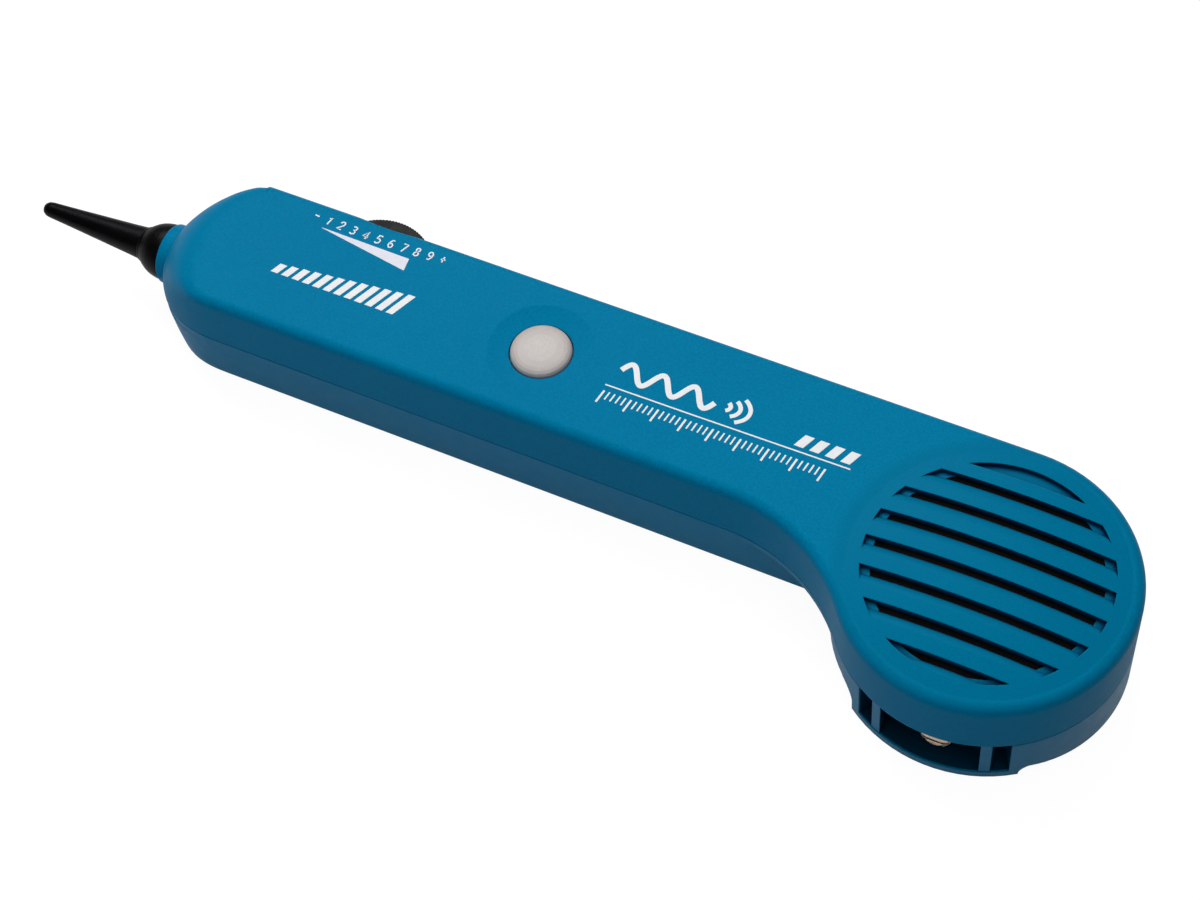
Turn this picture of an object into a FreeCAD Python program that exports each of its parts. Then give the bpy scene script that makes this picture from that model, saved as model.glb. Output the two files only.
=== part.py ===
import FreeCAD, Part
import math
import os
from FreeCAD import Vector

# Hand-held cable tracer probe: a flat paddle of two clamped shells, a loudspeaker in the round
# head, a push button, an edge thumbwheel and a conductive tip. Millimetres.
# Frame: origin on the rest plane under the loudspeaker axis. +Z up through the grille,
# +X along the handle away from the tip, +Y towards the thumbwheel side ("far"; -Y is "near").

# ---------------------------------------------------------------- driving dimensions
THICK = 26.0            # rest plane to the flat top face
PART_Z = 12.3           # parting plane of the shells
WALL = 2.0
HEAD_R = 28.5
FAR_Y = HEAD_R          # far wall, tangent to the head
NEAR_Y = -3.18          # near wall
MID_Y = (FAR_Y + NEAR_Y) / 2
HALF_WIDTH = (FAR_Y - NEAR_Y) / 2
NECK_R = 35.8           # concave neck on the near side
NECK_Y = NEAR_Y - NECK_R
NECK_X = -math.sqrt((HEAD_R + NECK_R) ** 2 - NECK_Y ** 2)
JOIN_X = -165.0         # where the nose block starts
TOP_FILLET = 2.0
BASE_FILLET = 0.9
LIP = 0.22              # shadow-line chamfer at the parting plane
SEAM = 0.003            # the nose meets the straight walls to within this

DOME_X = -172.2         # where the flat top starts to fall towards the tip
DOME_LENGTH = 12.7      # length of that fall
DOME_POWER = 1.8
KEEL_X = -184.9         # end of the lower nose at the parting plane
KEEL_RUN = 2.5          # how far that end draws back down to the rest plane
NOSE_STEPS = 18

BOWL_X, BOWL_Y = 2.1, 2.1   # centre of the bowl's flat underside
BOWL_FLAT = 24.6        # its radius
BOWL_ROUND = 5.0        # round between the flat and the sloping wall
BOWL_LEAN = math.radians(60)

GRILLE_R = 23.24
CROWN_H = 2.35          # the grille stands up as a shallow crown
CROWN_R = 26.0
SLOT_COUNT = 7
SLOT_PITCH = 6.205
SLOT_W = 3.5
SLOT_Y = 17.18          # far edge of the first open slot
BLIND_Y = 20.25         # near edge of the blind crescent
PLATE_T = 1.3           # grille plate
LEDGE_D = 0.95          # depth of the slots' ledges
OPEN_W = 1.4            # width of the through opening in a slot
OPEN_R = 21.3
LAST_OPEN_R = 21.9      # the same for the slot nearest the near side

BUTTON_X = -97.3
BUTTON_R = 6.2
FINGER_DISH_R = 10.66
FINGER_DISH_D = 1.3

WHEEL_X, WHEEL_Y = -140.9, 22.0
WHEEL_R = 12.0
WHEEL_Z0, WHEEL_Z1 = 16.3, 19.5
WHEEL_TEETH = 108
NOTCH_HALF = 11.4       # half length of the thumbwheel notch
RELIEF_R = 34.0         # finger relief round the notch
RELIEF_D = 1.1

TIP_Z = PART_Z
BOSS_R = 6.46
BOSS_X = -185.6
PAD_R = 7.2
TIP_HOLE_R = 3.1

BOARD_X0, BOARD_X1 = -161.0, -92.8
BOARD_Y0, BOARD_Y1 = -0.8, 26.1
BOARD_Z0, BOARD_Z1 = 9.4, 11.0
BODY_Z = BOARD_Z1 + 0.03    # undersides of bodies standing on the board
LEG_Z = BOARD_Z1 + 0.02     # lower ends of legs on the board
WIRE_Z = BOARD_Z1 + 0.5     # where wires end above the board

BATTERY_X0, BATTERY_X1 = -79.1, -32.9
BATTERY_Z0, BATTERY_Z1 = 3.4, 20.9
BATTERY_HALF = 13.25
BATTERY_Z = (BATTERY_Z0 + BATTERY_Z1) / 2

DOOR_AXIS_X = -82.6
DOOR_X1 = -31.0
DOOR_HALF = 13.6
DOOR_LIFT = 0.15        # the door sits this far above the rest plane
DOOR_AXIS_Z = WALL / 2

# Terminal recess on the near side of the head; angles in degrees about the head axis.
RECESS_R = 20.6
RECESS_FROM, RECESS_TO = -126.0, -55.0
WINDOW_FROM, WINDOW_TO = -121.5, -58.5
TERMINAL_X, TERMINAL_Z = 0.8, 7.4

# Screw places: x, y.
CASE_SCREWS = [(-170.0, MID_Y), (-88.0, 1.9), (-88.0, 23.4), (-26.6, 22.8), (-26.6, 2.4)]
BOARD_SCREWS = [(-156.0, 2.6), (-156.0, 22.9), (-103.5, 2.2), (-103.5, 23.1)]
SPEAKER_SCREWS = [(24.2 * math.cos(math.radians(angle)), 24.2 * math.sin(math.radians(angle)))
                  for angle in (90.0, 205.0, 330.0)]

ORIGIN = Vector(0, 0, 0)
X_AXIS, Y_AXIS, Z_AXIS = Vector(1, 0, 0), Vector(0, 1, 0), Vector(0, 0, 1)


# ---------------------------------------------------------------- helpers
def box(x0, x1, y0, y1, z0, z1):
    return Part.makeBox(x1 - x0, y1 - y0, z1 - z0, Vector(x0, y0, z0))


def mid_box(x0, x1, half, z0, z1):
    """Box centred across the handle."""
    return box(x0, x1, MID_Y - half, MID_Y + half, z0, z1)


def cyl(radius, z0, z1, x=0.0, y=0.0):
    return Part.makeCylinder(radius, z1 - z0, Vector(x, y, z0), Z_AXIS)


def cyl_x(radius, x0, x1, y, z):
    return Part.makeCylinder(radius, x1 - x0, Vector(x0, y, z), X_AXIS)


def cyl_y(radius, y0, y1, x, z):
    return Part.makeCylinder(radius, y1 - y0, Vector(x, y0, z), Y_AXIS)


def tube(outer_r, inner_r, z0, z1, x=0.0, y=0.0):
    return cyl(outer_r, z0, z1, x, y).cut(cyl(inner_r, z0 - 1, z1 + 1, x, y))


def sector(inner_r, outer_r, start, end, z0, z1):
    """Part of a ring about the head axis between two angles in degrees."""
    wedge = Part.makeCylinder(outer_r, z1 - z0, Vector(0, 0, z0), Z_AXIS, end - start)
    wedge.rotate(ORIGIN, Z_AXIS, start)
    return wedge.cut(cyl(inner_r, z0 - 1, z1 + 1))


def line(start, end):
    return Part.LineSegment(start, end).toShape()


def arc(start, middle, end):
    return Part.Arc(start, middle, end).toShape()


def poly_face(points):
    return Part.Face(Part.makePolygon(points + [points[0]]))


def revolve_z(profile, x=0.0, y=0.0):
    """Profile of (radius, z) points turned about a vertical axis."""
    face = poly_face([Vector(x + radius, y, z) for radius, z in profile])
    return face.revolve(Vector(x, y, 0), Z_AXIS, 360)


def revolve_x(profile, y, z):
    """Profile of (x, radius) points turned about an axis along X."""
    face = poly_face([Vector(x, y, z + radius) for x, radius in profile])
    return face.revolve(Vector(0, y, z), X_AXIS, 360)


def hexagon(flats, centre, across):
    """Upright hexagonal face in the plane of across and Z."""
    radius = flats / math.sqrt(3.0)
    angles = [math.radians(60 * i + 30) for i in range(6)]
    return poly_face([centre + across * (radius * math.cos(angle))
                      + Z_AXIS * (radius * math.sin(angle)) for angle in angles])


def lead(points, radius=0.6):
    """Round wire along a smooth curve through the points."""
    curve = Part.BSplineCurve()
    curve.interpolate([Vector(*point) for point in points])
    tangent = curve.tangent(curve.FirstParameter)[0]
    ring = Part.Wire(Part.makeCircle(radius, Vector(*points[0]), tangent))
    return Part.Wire(curve.toShape()).makePipeShell([ring], True, True)


def cap_radius(half_chord, rise):
    """Radius of the arc with this half chord and rise."""
    return (half_chord ** 2 + rise ** 2) / (2 * rise)


def cut_cross(shape, x, y, length, width, z0, z1):
    """Cross recess; length and width are half sizes of an arm pair."""
    shape = shape.cut(box(x - length, x + length, y - width, y + width, z0, z1))
    return shape.cut(box(x - width, x + width, y - length, y + length, z0, z1))


def screw_up(x, y, head_z, head_r, head_h, shank_r, end_z):
    """Cross-recess screw with its shank pointing to +Z."""
    screw = revolve_z([(0, head_z), (head_r * 0.72, head_z), (head_r, head_z + head_h * 0.45),
                       (head_r, head_z + head_h), (shank_r, head_z + head_h),
                       (shank_r, end_z - 1.2), (shank_r * 0.35, end_z), (0, end_z)], x, y)
    return cut_cross(screw, x, y, head_r * 0.62, head_r * 0.17,
                     head_z - 0.5, head_z + head_h * 0.62)


def screw_down(x, y, head_z, head_r, head_h, shank_r, end_z):
    """Cross-recess screw with its shank pointing to -Z; head_z is under the head."""
    top_z = head_z + head_h
    screw = revolve_z([(0, top_z), (head_r * 0.7, top_z), (head_r, head_z + head_h * 0.5),
                       (head_r, head_z), (shank_r, head_z), (shank_r, end_z + 0.8),
                       (0.2, end_z), (0, end_z)], x, y)
    recess_z = head_z + head_h * 0.4
    return cut_cross(screw, x, y, head_r * 0.62, head_r * 0.17, recess_z, recess_z + 3)


def fuse_all(shapes):
    return shapes[0].multiFuse(shapes[1:]).removeSplitter()


def single(shape):
    """The bare solid where the shape holds just one."""
    return shape.Solids[0] if len(shape.Solids) == 1 else shape


def edges_along(shape, axis):
    """Edges whose two ends lie more than 1 mm apart along axis "X", "Y" or "Z"."""
    return [edge for edge in shape.Edges if len(edge.Vertexes) == 2
            and abs(getattr(edge.Vertexes[0], axis) - getattr(edge.Vertexes[1], axis)) > 1]


def edges_on(shape, axis, *places):
    """Edges with all their ends at one of the places along the axis."""
    return [edge for edge in shape.Edges
            if any(all(abs(getattr(vertex, axis) - place) < 1e-6 for vertex in edge.Vertexes)
                   for place in places)]


def level_edges(shape, z):
    """Edges lying at height z, without the straight one at the nose joint."""
    found = []
    for edge in shape.Edges:
        points = [vertex.Point for vertex in edge.Vertexes]
        points.append(edge.valueAt((edge.FirstParameter + edge.LastParameter) / 2))
        level = all(abs(point.z - z) < 1e-4 for point in points)
        joint = all(abs(point.x - JOIN_X) < 1e-4 for point in points)
        if level and not joint:
            found.append(edge)
    return found


def save(name, shape):
    shape.exportStep("parts/" + name + ".step")


os.makedirs("parts", exist_ok=True)


# ---------------------------------------------------------------- plan of head and handle
def paddle(inset, z0, z1):
    """Prism on the plan of head, neck and handle up to the nose joint."""
    def polar(x, y, radius, angle):
        return Vector(x + radius * math.cos(angle), y + radius * math.sin(angle), z0)

    head_r = HEAD_R - inset
    near_y, far_y = NEAR_Y + inset, FAR_Y - inset
    share = head_r / (HEAD_R + NECK_R)
    near_end = Vector(JOIN_X, near_y, z0)
    neck_start = Vector(NECK_X, near_y, z0)
    neck_angle = (math.pi / 2 + math.atan2(-NECK_Y, -NECK_X)) / 2
    neck_mid = polar(NECK_X, NECK_Y, NECK_R + inset, neck_angle)
    head_start = Vector(NECK_X * share, NECK_Y * share, z0)
    head_mid = polar(0, 0, head_r, (math.atan2(NECK_Y, NECK_X) + math.pi / 2) / 2)
    head_end = Vector(0, far_y, z0)
    far_end = Vector(JOIN_X, far_y, z0)
    wire = Part.Wire([line(near_end, neck_start), arc(neck_start, neck_mid, head_start),
                      arc(head_start, head_mid, head_end), line(head_end, far_end),
                      line(far_end, near_end)])
    return Part.Face(wire).extrude(Vector(0, 0, z1 - z0))


# ---------------------------------------------------------------- nose
def nose_wire(z, end_x, power, half_width):
    """Plan of the nose: a blunt half oval from the straight walls to end_x."""
    points = []
    for i in range(NOSE_STEPS + 1):
        angle = -math.pi / 2 + math.pi * i / NOSE_STEPS
        reach = max(0.0, math.cos(angle)) ** power if 0 < i < NOSE_STEPS else 0.0
        points.append(Vector(JOIN_X - (JOIN_X - end_x) * reach,
                             MID_Y + half_width * math.sin(angle), z))
    curve = Part.BSplineCurve()
    curve.interpolate(Points=points, InitialTangent=Vector(-1, 0, 0), FinalTangent=X_AXIS)
    return Part.Wire([curve.toShape(), line(points[-1], points[0])])


def nose_loft(levels, end_at, power_at, smooth=True):
    """levels: (z, side inset); end_at(z) is the end on the centre line, power_at(z) its shape."""
    wires = [nose_wire(z, end_at(z), power_at(z), HALF_WIDTH - inset) for z, inset in levels]
    return Part.makeLoft(wires, True, not smooth)


def dome(z, inset=0.0):
    """End of the upper nose: nearly a quarter oval in side view."""
    share = min(1.0, max(0.0, (z - PART_Z) / (THICK - PART_Z - inset)))
    fall = max(0.0, 1.0 - share ** DOME_POWER) ** (1 / DOME_POWER)
    return DOME_X - (DOME_LENGTH - inset) * fall


def keel(z):
    """End of the lower nose: gentler, down to the rest plane."""
    return KEEL_X + KEEL_RUN * ((PART_Z - z) / PART_Z) ** 2


def rounded_keel(z):
    depth = max(0.0, BASE_FILLET - z)
    return keel(z) + BASE_FILLET - math.sqrt(max(0.0, BASE_FILLET ** 2 - depth ** 2))


def top_power(z):
    return 0.82 + 0.05 * (z - PART_Z) / (THICK - PART_Z)


def low_power(z):
    return 0.82 - 0.10 * (PART_Z - z) / PART_Z


def round_levels(full_z, rise, steps):
    """Levels (z, inset) of a rounded edge from full_z; a negative rise goes down."""
    angles = [math.pi / 2 * i / steps for i in range(steps + 1)]
    return [(full_z + rise * math.sin(a), abs(rise) * (1 - math.cos(a))) for a in angles]


nose_boss = cyl_x(BOSS_R, BOSS_X, -176.0, MID_Y, TIP_Z)
nose_boss = nose_boss.makeFillet(0.5, edges_on(nose_boss, "X", BOSS_X))
nose_pad = cyl_x(PAD_R, -184.6, -181.4, MID_Y, TIP_Z)
tip_hole = cyl_x(TIP_HOLE_R, -190, -170, MID_Y, TIP_Z)
above_split = box(-190, -170, -10, 30, PART_Z, 24)
below_split = box(-190, -170, -10, 30, 0, PART_Z)
relief = cyl(RELIEF_R, PART_Z - 1, 30, WHEEL_X + 1.5, FAR_Y + RELIEF_R - RELIEF_D)

# ---------------------------------------------------------------- crown of the grille
CROWN_SPHERE_R = cap_radius(CROWN_R, CROWN_H)
CROWN_CENTRE = Vector(0, 0, THICK + CROWN_H - CROWN_SPHERE_R)
TOOL_RISE = 0.8         # how far the slot tools stand above the crown


def crown_point(y, offset=0.0):
    """Point over x = 0, offset vertically from the crown's surface."""
    return Vector(0, y, CROWN_CENTRE.z + math.sqrt(CROWN_SPHERE_R ** 2 - y * y) + offset)


def crown_sweep(face):
    """Face in the plane x = 0, carried across the crown so that it keeps its depth."""
    face.rotate(CROWN_CENTRE, Y_AXIS, -10)
    return face.revolve(CROWN_CENTRE, Y_AXIS, 20).common(cyl(GRILLE_R, 20, 32))


def blind_crescent():
    return crown_sweep(poly_face([
        crown_point(BLIND_Y, TOOL_RISE), crown_point(BLIND_Y, -0.55),
        crown_point(BLIND_Y + 0.45, -1.0), crown_point(24.0, -1.0),
        crown_point(24.0, TOOL_RISE)]))


def slot_ledge(far_y):
    """Slot with a level ledge at its far side and a curved rise to its near edge."""
    near_y, ledge_y = far_y - SLOT_W, far_y - OPEN_W
    run = SLOT_W - OPEN_W
    radius = cap_radius(run, LEDGE_D)
    angle = (math.atan2(radius - LEDGE_D, run) + math.pi / 2) / 2
    middle = crown_point(near_y + radius * math.cos(angle))
    middle.z += -radius + radius * math.sin(angle)
    far_top, far_foot = crown_point(far_y, TOOL_RISE), crown_point(far_y, -LEDGE_D)
    ledge_end, near_edge = crown_point(ledge_y, -LEDGE_D), crown_point(near_y)
    near_top = crown_point(near_y, TOOL_RISE)
    return crown_sweep(Part.Face(Part.Wire([
        line(far_top, far_foot), line(far_foot, ledge_end), arc(ledge_end, middle, near_edge),
        line(near_edge, near_top), line(near_top, far_top)])))


def cut_grille(top):
    tools = [blind_crescent()]
    for i in range(SLOT_COUNT):
        far_y = SLOT_Y - SLOT_PITCH * i
        open_r = OPEN_R if i < SLOT_COUNT - 1 else LAST_OPEN_R
        tools.append(slot_ledge(far_y))
        tools.append(box(-24, 24, far_y - OPEN_W, far_y, 24.3, 30).common(cyl(open_r, 24.3, 30)))
    for tool in tools:
        top = top.cut(tool)
    return top


# ---------------------------------------------------------------- top shell
def top_nose():
    lip = nose_loft([(PART_Z, LIP), (PART_Z + LIP, 0.0)], dome, top_power, False)
    start, full_z = PART_Z + LIP, THICK - TOP_FILLET
    shares = (0.0, 0.2, 0.39, 0.58, 0.75, 0.87, 0.94, 0.98, 1.0)
    levels = [(start + (full_z - start) * share, 0.0) for share in shares]
    levels += round_levels(full_z, TOP_FILLET, 5)[1:]
    return lip.fuse(nose_loft(levels, dome, top_power))


def top_cavity():
    height = THICK - TOP_FILLET - 0.6 - PART_Z
    levels = [(PART_Z + height * i / 6.0, WALL) for i in range(7)]
    return paddle(WALL, PART_Z - 1, THICK - WALL).fuse(
        nose_loft(levels, lambda z: dome(z, WALL), top_power))


def add_button_seat(top):
    """Collar round the push-button hole, under a dished finger recess."""
    sphere_r = cap_radius(FINGER_DISH_R, FINGER_DISH_D)
    top = top.fuse(cyl(8.3, 22.6, 24.5, BUTTON_X, MID_Y))
    centre = Vector(BUTTON_X, MID_Y, THICK + sphere_r - FINGER_DISH_D)
    top = top.cut(Part.makeSphere(sphere_r, centre))
    return top.cut(cyl(BUTTON_R + 0.2, 20, 27, BUTTON_X, MID_Y))


def add_speaker_seat(top):
    """Locating ring with three screw bosses."""
    inner_r, z0, z1 = 22.7, 22.1, 24.5
    bosses = [cyl(1.9, z0, z1, x, y).cut(cyl(inner_r, 20, 25)) for x, y in SPEAKER_SCREWS]
    seat = tube(24.1, inner_r, z0, z1).multiFuse(bosses).common(cyl(HEAD_R - 0.6, 20, 25))
    top = top.fuse(seat)
    for x, y in SPEAKER_SCREWS:
        top = top.cut(cyl(0.85, 21, 24.6, x, y))
    return top


def add_crown(top):
    dome_cap = Part.makeSphere(CROWN_SPHERE_R, CROWN_CENTRE)
    top = top.fuse(dome_cap.common(cyl(CROWN_R + 0.45, 24.9, 32)))
    hollow = Part.makeSphere(CROWN_SPHERE_R - PLATE_T, CROWN_CENTRE)
    return top.cut(hollow.common(cyl(22.9, 23.999, 32)))


def top_shell():
    main = paddle(0.0, PART_Z, THICK)
    main = main.makeChamfer(LIP, level_edges(main, PART_Z))
    main = main.makeFillet(TOP_FILLET, level_edges(main, THICK))
    nose = top_nose()
    outer = main.fuse(nose, SEAM)
    top = outer.fuse(nose_boss.common(above_split)).cut(top_cavity())
    top = top.fuse(nose_pad.common(nose).common(above_split))
    top = top.cut(tip_hole)
    top = cut_grille(add_crown(add_speaker_seat(add_button_seat(top))))
    for x, y in CASE_SCREWS:
        top = top.fuse(cyl(3.2, PART_Z, 24.5, x, y).common(outer))
    for x, y in CASE_SCREWS:
        top = top.cut(cyl(1.35, 11, 21, x, y))
    # roof over the terminal recess
    top = top.fuse(sector(RECESS_R, 27.0, RECESS_FROM, RECESS_TO, PART_Z, PART_Z + 1.4))
    # thumbwheel notch and its finger relief
    top = top.cut(box(WHEEL_X - NOTCH_HALF, WHEEL_X + NOTCH_HALF, 24.0, 32,
                      PART_Z - 1, WHEEL_Z1 + 0.5))
    return top.cut(relief)


save("top_shell", single(top_shell()))


# ---------------------------------------------------------------- bottom shell
def handle_block():
    """Straight lower handle with rounded bottom corners."""
    radius = BASE_FILLET
    inset = radius * (1 - math.sqrt(0.5))

    def at(y, z):
        return Vector(JOIN_X, y, z)

    near_top, near_side, near_foot = at(NEAR_Y, PART_Z), at(NEAR_Y, radius), at(NEAR_Y + radius, 0)
    far_foot, far_side, far_top = at(FAR_Y - radius, 0), at(FAR_Y, radius), at(FAR_Y, PART_Z)
    wire = Part.Wire([line(near_top, near_side),
                      arc(near_side, at(NEAR_Y + inset, inset), near_foot),
                      line(near_foot, far_foot),
                      arc(far_foot, at(FAR_Y - inset, inset), far_side),
                      line(far_side, far_top), line(far_top, near_top)])
    return Part.Face(wire).extrude(Vector(-JOIN_X, 0, 0))


def bowl(lift, flat_r):
    """Flat underside, rounded into a wall that leans out."""
    rise = 16.0
    centre = Vector(BOWL_X, BOWL_Y, lift)
    flat_end = Vector(BOWL_X + flat_r, BOWL_Y, lift)

    def on_round(angle):
        return flat_end + Vector(BOWL_ROUND * math.sin(angle), 0,
                                 BOWL_ROUND - BOWL_ROUND * math.cos(angle))

    wall_foot = on_round(BOWL_LEAN)
    wall_top = wall_foot + Vector(rise / math.tan(BOWL_LEAN), 0, rise)
    axis_top = Vector(BOWL_X, BOWL_Y, wall_top.z)
    wire = Part.Wire([line(centre, flat_end), arc(flat_end, on_round(BOWL_LEAN / 2), wall_foot),
                      line(wall_foot, wall_top), line(wall_top, axis_top),
                      line(axis_top, centre)])
    return Part.Face(wire).revolve(Vector(BOWL_X, BOWL_Y, 0), Z_AXIS, 360)


def cove(wall_angle, end_angle, radius, top_z):
    """Concave fillet between an end wall of the terminal recess and the bowl."""
    block = sector(23.0, HEAD_R, min(wall_angle, end_angle), max(wall_angle, end_angle),
                   top_z - radius, top_z + 1.5)
    way = Vector(math.cos(math.radians(end_angle)), math.sin(math.radians(end_angle)), 0)
    return block.cut(Part.makeCylinder(radius, 20, way * 15 + Z_AXIS * (top_z - radius), way))


def bottom_nose():
    lip_z = PART_Z - LIP
    lip = nose_loft([(lip_z, 0.0), (PART_Z, LIP)], keel, low_power, False)
    levels = round_levels(BASE_FILLET, -BASE_FILLET, 4)[::-1]
    levels += [(BASE_FILLET + (lip_z - BASE_FILLET) * share, 0.0)
               for share in (0.02, 0.06, 0.13, 0.25, 0.42, 0.61, 0.8, 1.0)]
    return lip.fuse(nose_loft(levels, rounded_keel, low_power))


def bottom_cavity():
    handle = box(JOIN_X, 0, NEAR_Y + WALL, FAR_Y - WALL, WALL, PART_Z + 1)
    head = cyl(HEAD_R - WALL, WALL, PART_Z + 1).common(bowl(WALL, BOWL_FLAT - 1.2))
    levels = [(WALL + (PART_Z - WALL) * i / 5.0, WALL) for i in range(6)]
    return handle.fuse([head, nose_loft(levels, lambda z: keel(z) + WALL, low_power)])


def bottom_outside(clip, nose):
    head = cyl(HEAD_R, 0, PART_Z).common(bowl(0.0, BOWL_FLAT))
    coves = [cove(RECESS_TO, RECESS_TO + 5.0, 2.5, 2.6),
             cove(RECESS_FROM, RECESS_FROM - 8.0, 4.0, 6.6)]
    rim = paddle(0.0, PART_Z - 1.6, PART_Z)
    cage = sector(RECESS_R, HEAD_R, RECESS_FROM, RECESS_TO, 0, PART_Z)
    body = handle_block().fuse([head, rim, cage] + coves).removeSplitter().common(clip)
    return body.fuse([nose], SEAM).fuse(nose_boss.common(below_split)).removeSplitter()


def add_terminal_recess(bottom):
    """Recess with two ribs and a boss for the test terminal."""
    bottom = bottom.fuse(sector(RECESS_R, 27.5, RECESS_FROM, RECESS_TO, 0.5, PART_Z))
    bottom = bottom.cut(sector(22.2, 30.0, WINDOW_FROM, WINDOW_TO, 1.8, PART_Z + 1))
    for side in (-1, 1):
        rib = box(side * 10.7 - 0.95, side * 10.7 + 0.95, -30, -20, 1.5, PART_Z)
        bottom = bottom.fuse(rib.common(tube(HEAD_R - 0.15, 26.3, 0, PART_Z)))
    bottom = bottom.fuse(cyl_y(3.3, -24.3, -20.9, TERMINAL_X, TERMINAL_Z))
    bottom = bottom.cut(cyl_y(1.45, -26, -15, TERMINAL_X, TERMINAL_Z))
    return bottom.cut(box(TERMINAL_X - 4.2, TERMINAL_X + 4.2, -20.2, -15, 3.0, 12.0))


def add_battery_bay(bottom):
    """Two cross walls, each with a gap in the middle."""
    bottom = bottom.fuse([box(x0, x1, NEAR_Y + 1, FAR_Y - 1, 1.0, 11.5)
                          for x0, x1 in ((-85.3, -84.0), (-30.5, -29.3))])
    bottom = bottom.cut(mid_box(-86, -83, 6, 4.5, 14))
    return bottom.cut(mid_box(-31, -29, 5, 4.5, 14))


def add_pillars(bottom, envelope):
    """Case-screw pillars and board posts."""
    for x, y in CASE_SCREWS:
        bottom = bottom.fuse(cyl(3.6, 1.0, PART_Z, x, y).common(envelope))
    for x, y in CASE_SCREWS:
        bottom = bottom.cut(cyl(1.6, -1, PART_Z + 1, x, y))
        bottom = bottom.cut(cyl(2.75, -1, 3.0, x, y))
    for x, y in BOARD_SCREWS:
        bottom = bottom.fuse(cyl(2.4, 1.0, BOARD_Z0 - 0.03, x, y))
    for x, y in BOARD_SCREWS:
        bottom = bottom.cut(cyl(1.05, 3.5, 12, x, y))
    return bottom


def bottom_shell():
    clip = paddle(0.0, -1, PART_Z)
    clip = clip.makeChamfer(LIP, level_edges(clip, PART_Z))
    nose = bottom_nose()
    bottom = bottom_outside(clip, nose).cut(bottom_cavity())
    bottom = add_terminal_recess(bottom)
    bottom = bottom.fuse(nose_pad.common(nose).common(below_split))
    bottom = bottom.cut(tip_hole)
    bottom = add_pillars(add_battery_bay(bottom), clip.fuse(nose))
    # floor stiffening ribs under the board
    for x in (-148.0, -130.0, -115.0):
        bottom = bottom.fuse(box(x, x + 1.2, NEAR_Y + 1, FAR_Y - 1, 1.0, 4.2))
    # tongue that closes the thumbwheel notch from below
    half = NOTCH_HALF - 0.2
    tongue = box(WHEEL_X - half, WHEEL_X + half, FAR_Y - WALL, FAR_Y,
                 PART_Z - 1, WHEEL_Z0 - 0.4)
    bottom = bottom.fuse(tongue.cut(relief))
    # battery door opening with bearing holes for the door's trunnions
    bottom = bottom.cut(mid_box(DOOR_AXIS_X - 1.1, DOOR_X1 + 0.2, DOOR_HALF + 0.2,
                                -1, WALL + 0.05))
    return bottom.cut(cyl_y(0.66, MID_Y - 14.7, MID_Y + 14.7, DOOR_AXIS_X, DOOR_AXIS_Z))


save("bottom_shell", single(bottom_shell()))


# ---------------------------------------------------------------- battery door
def battery_door():
    door = mid_box(DOOR_AXIS_X, DOOR_X1, DOOR_HALF, 0.0, WALL)
    # rounded hinge edge, then the trunnions
    for radius, half in ((1.0, DOOR_HALF), (0.6, DOOR_HALF + 0.8)):
        door = door.fuse(cyl_y(radius, MID_Y - half, MID_Y + half, DOOR_AXIS_X, DOOR_AXIS_Z))
    # slits either side of the latch, and its hollow
    for side in (-1, 1):
        y = MID_Y + side * 5.0
        door = door.cut(box(DOOR_X1 - 8.0, DOOR_X1 + 1, y - 0.35, y + 0.35, -1, 3))
    door = door.cut(cyl_y(7.0, MID_Y - 3.5, MID_Y + 3.5, DOOR_X1 - 1.2, -6.1))
    # four grip grooves
    for i in range(4):
        x = DOOR_X1 - 14.0 - 2.2 * i
        door = door.cut(mid_box(x, x + 1.0, 8, -1, 0.45))
    # latch block and stiffening ribs inside
    door = door.fuse(mid_box(DOOR_X1 - 1.6, DOOR_X1 - 0.05, 3.6, 1.5, 3.0))
    for side in (-1, 1):
        y = MID_Y + side * 11.6
        door = door.fuse(box(-76.0, -34.0, y - 0.6, y + 0.6, 1.5, 3.0))
    return door.common(box(-100, 0, -20, 50, DOOR_LIFT, 5)).removeSplitter()


save("battery_door", single(battery_door()))
save("door_pad", mid_box(-74.0, -42.0, 8.5, 2.03, 3.3))

save("case_screws", Part.makeCompound([
    screw_up(x, y, head_z=1.05, head_r=2.45, head_h=1.93, shank_r=1.3, end_z=19.5)
    for x, y in CASE_SCREWS]))

# ---------------------------------------------------------------- probe tip
# x, radius about the tip axis
COLLAR_PROFILE = [
    (-185.65, 3.15), (-185.65, 6.0), (-186.0, 6.05), (-186.8, 6.0), (-187.8, 5.82),
    (-188.7, 5.55), (-189.6, 5.12), (-190.5, 4.55), (-191.2, 4.0), (-191.8, 3.78),
    (-191.95, 3.7), (-191.95, 3.15)]
TIP_PROFILE = [
    (-177.4, 0.0), (-177.4, 2.6), (-178.0, 3.0), (-192.0, 3.0), (-192.0, 3.5), (-192.5, 3.47),
    (-195.2, 3.22), (-199.9, 2.86), (-204.5, 2.50), (-209.0, 2.15), (-213.0, 1.86),
    (-215.6, 1.68), (-216.4, 1.52), (-217.0, 1.15), (-217.35, 0.6), (-217.45, 0.0)]
TIP_BORE_R = 3.05       # bore of nut and lug

save("tip_collar", revolve_x(COLLAR_PROFILE, MID_Y, TIP_Z))
save("probe_tip", revolve_x(TIP_PROFILE, MID_Y, TIP_Z))
nut = hexagon(8.0, Vector(-181.35, MID_Y, TIP_Z), Y_AXIS).extrude(Vector(2.3, 0, 0))
save("tip_nut", nut.cut(cyl_x(TIP_BORE_R, -182, -178, MID_Y, TIP_Z)))
lug = cyl_x(3.9, -179.0, -178.5, MID_Y, TIP_Z).cut(cyl_x(TIP_BORE_R, -180, -178, MID_Y, TIP_Z))
lug = lug.fuse(mid_box(-179.0, -178.5, 1.2, TIP_Z + 3.4, TIP_Z + 6.6))
save("tip_lug", single(lug.removeSplitter()))

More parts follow.
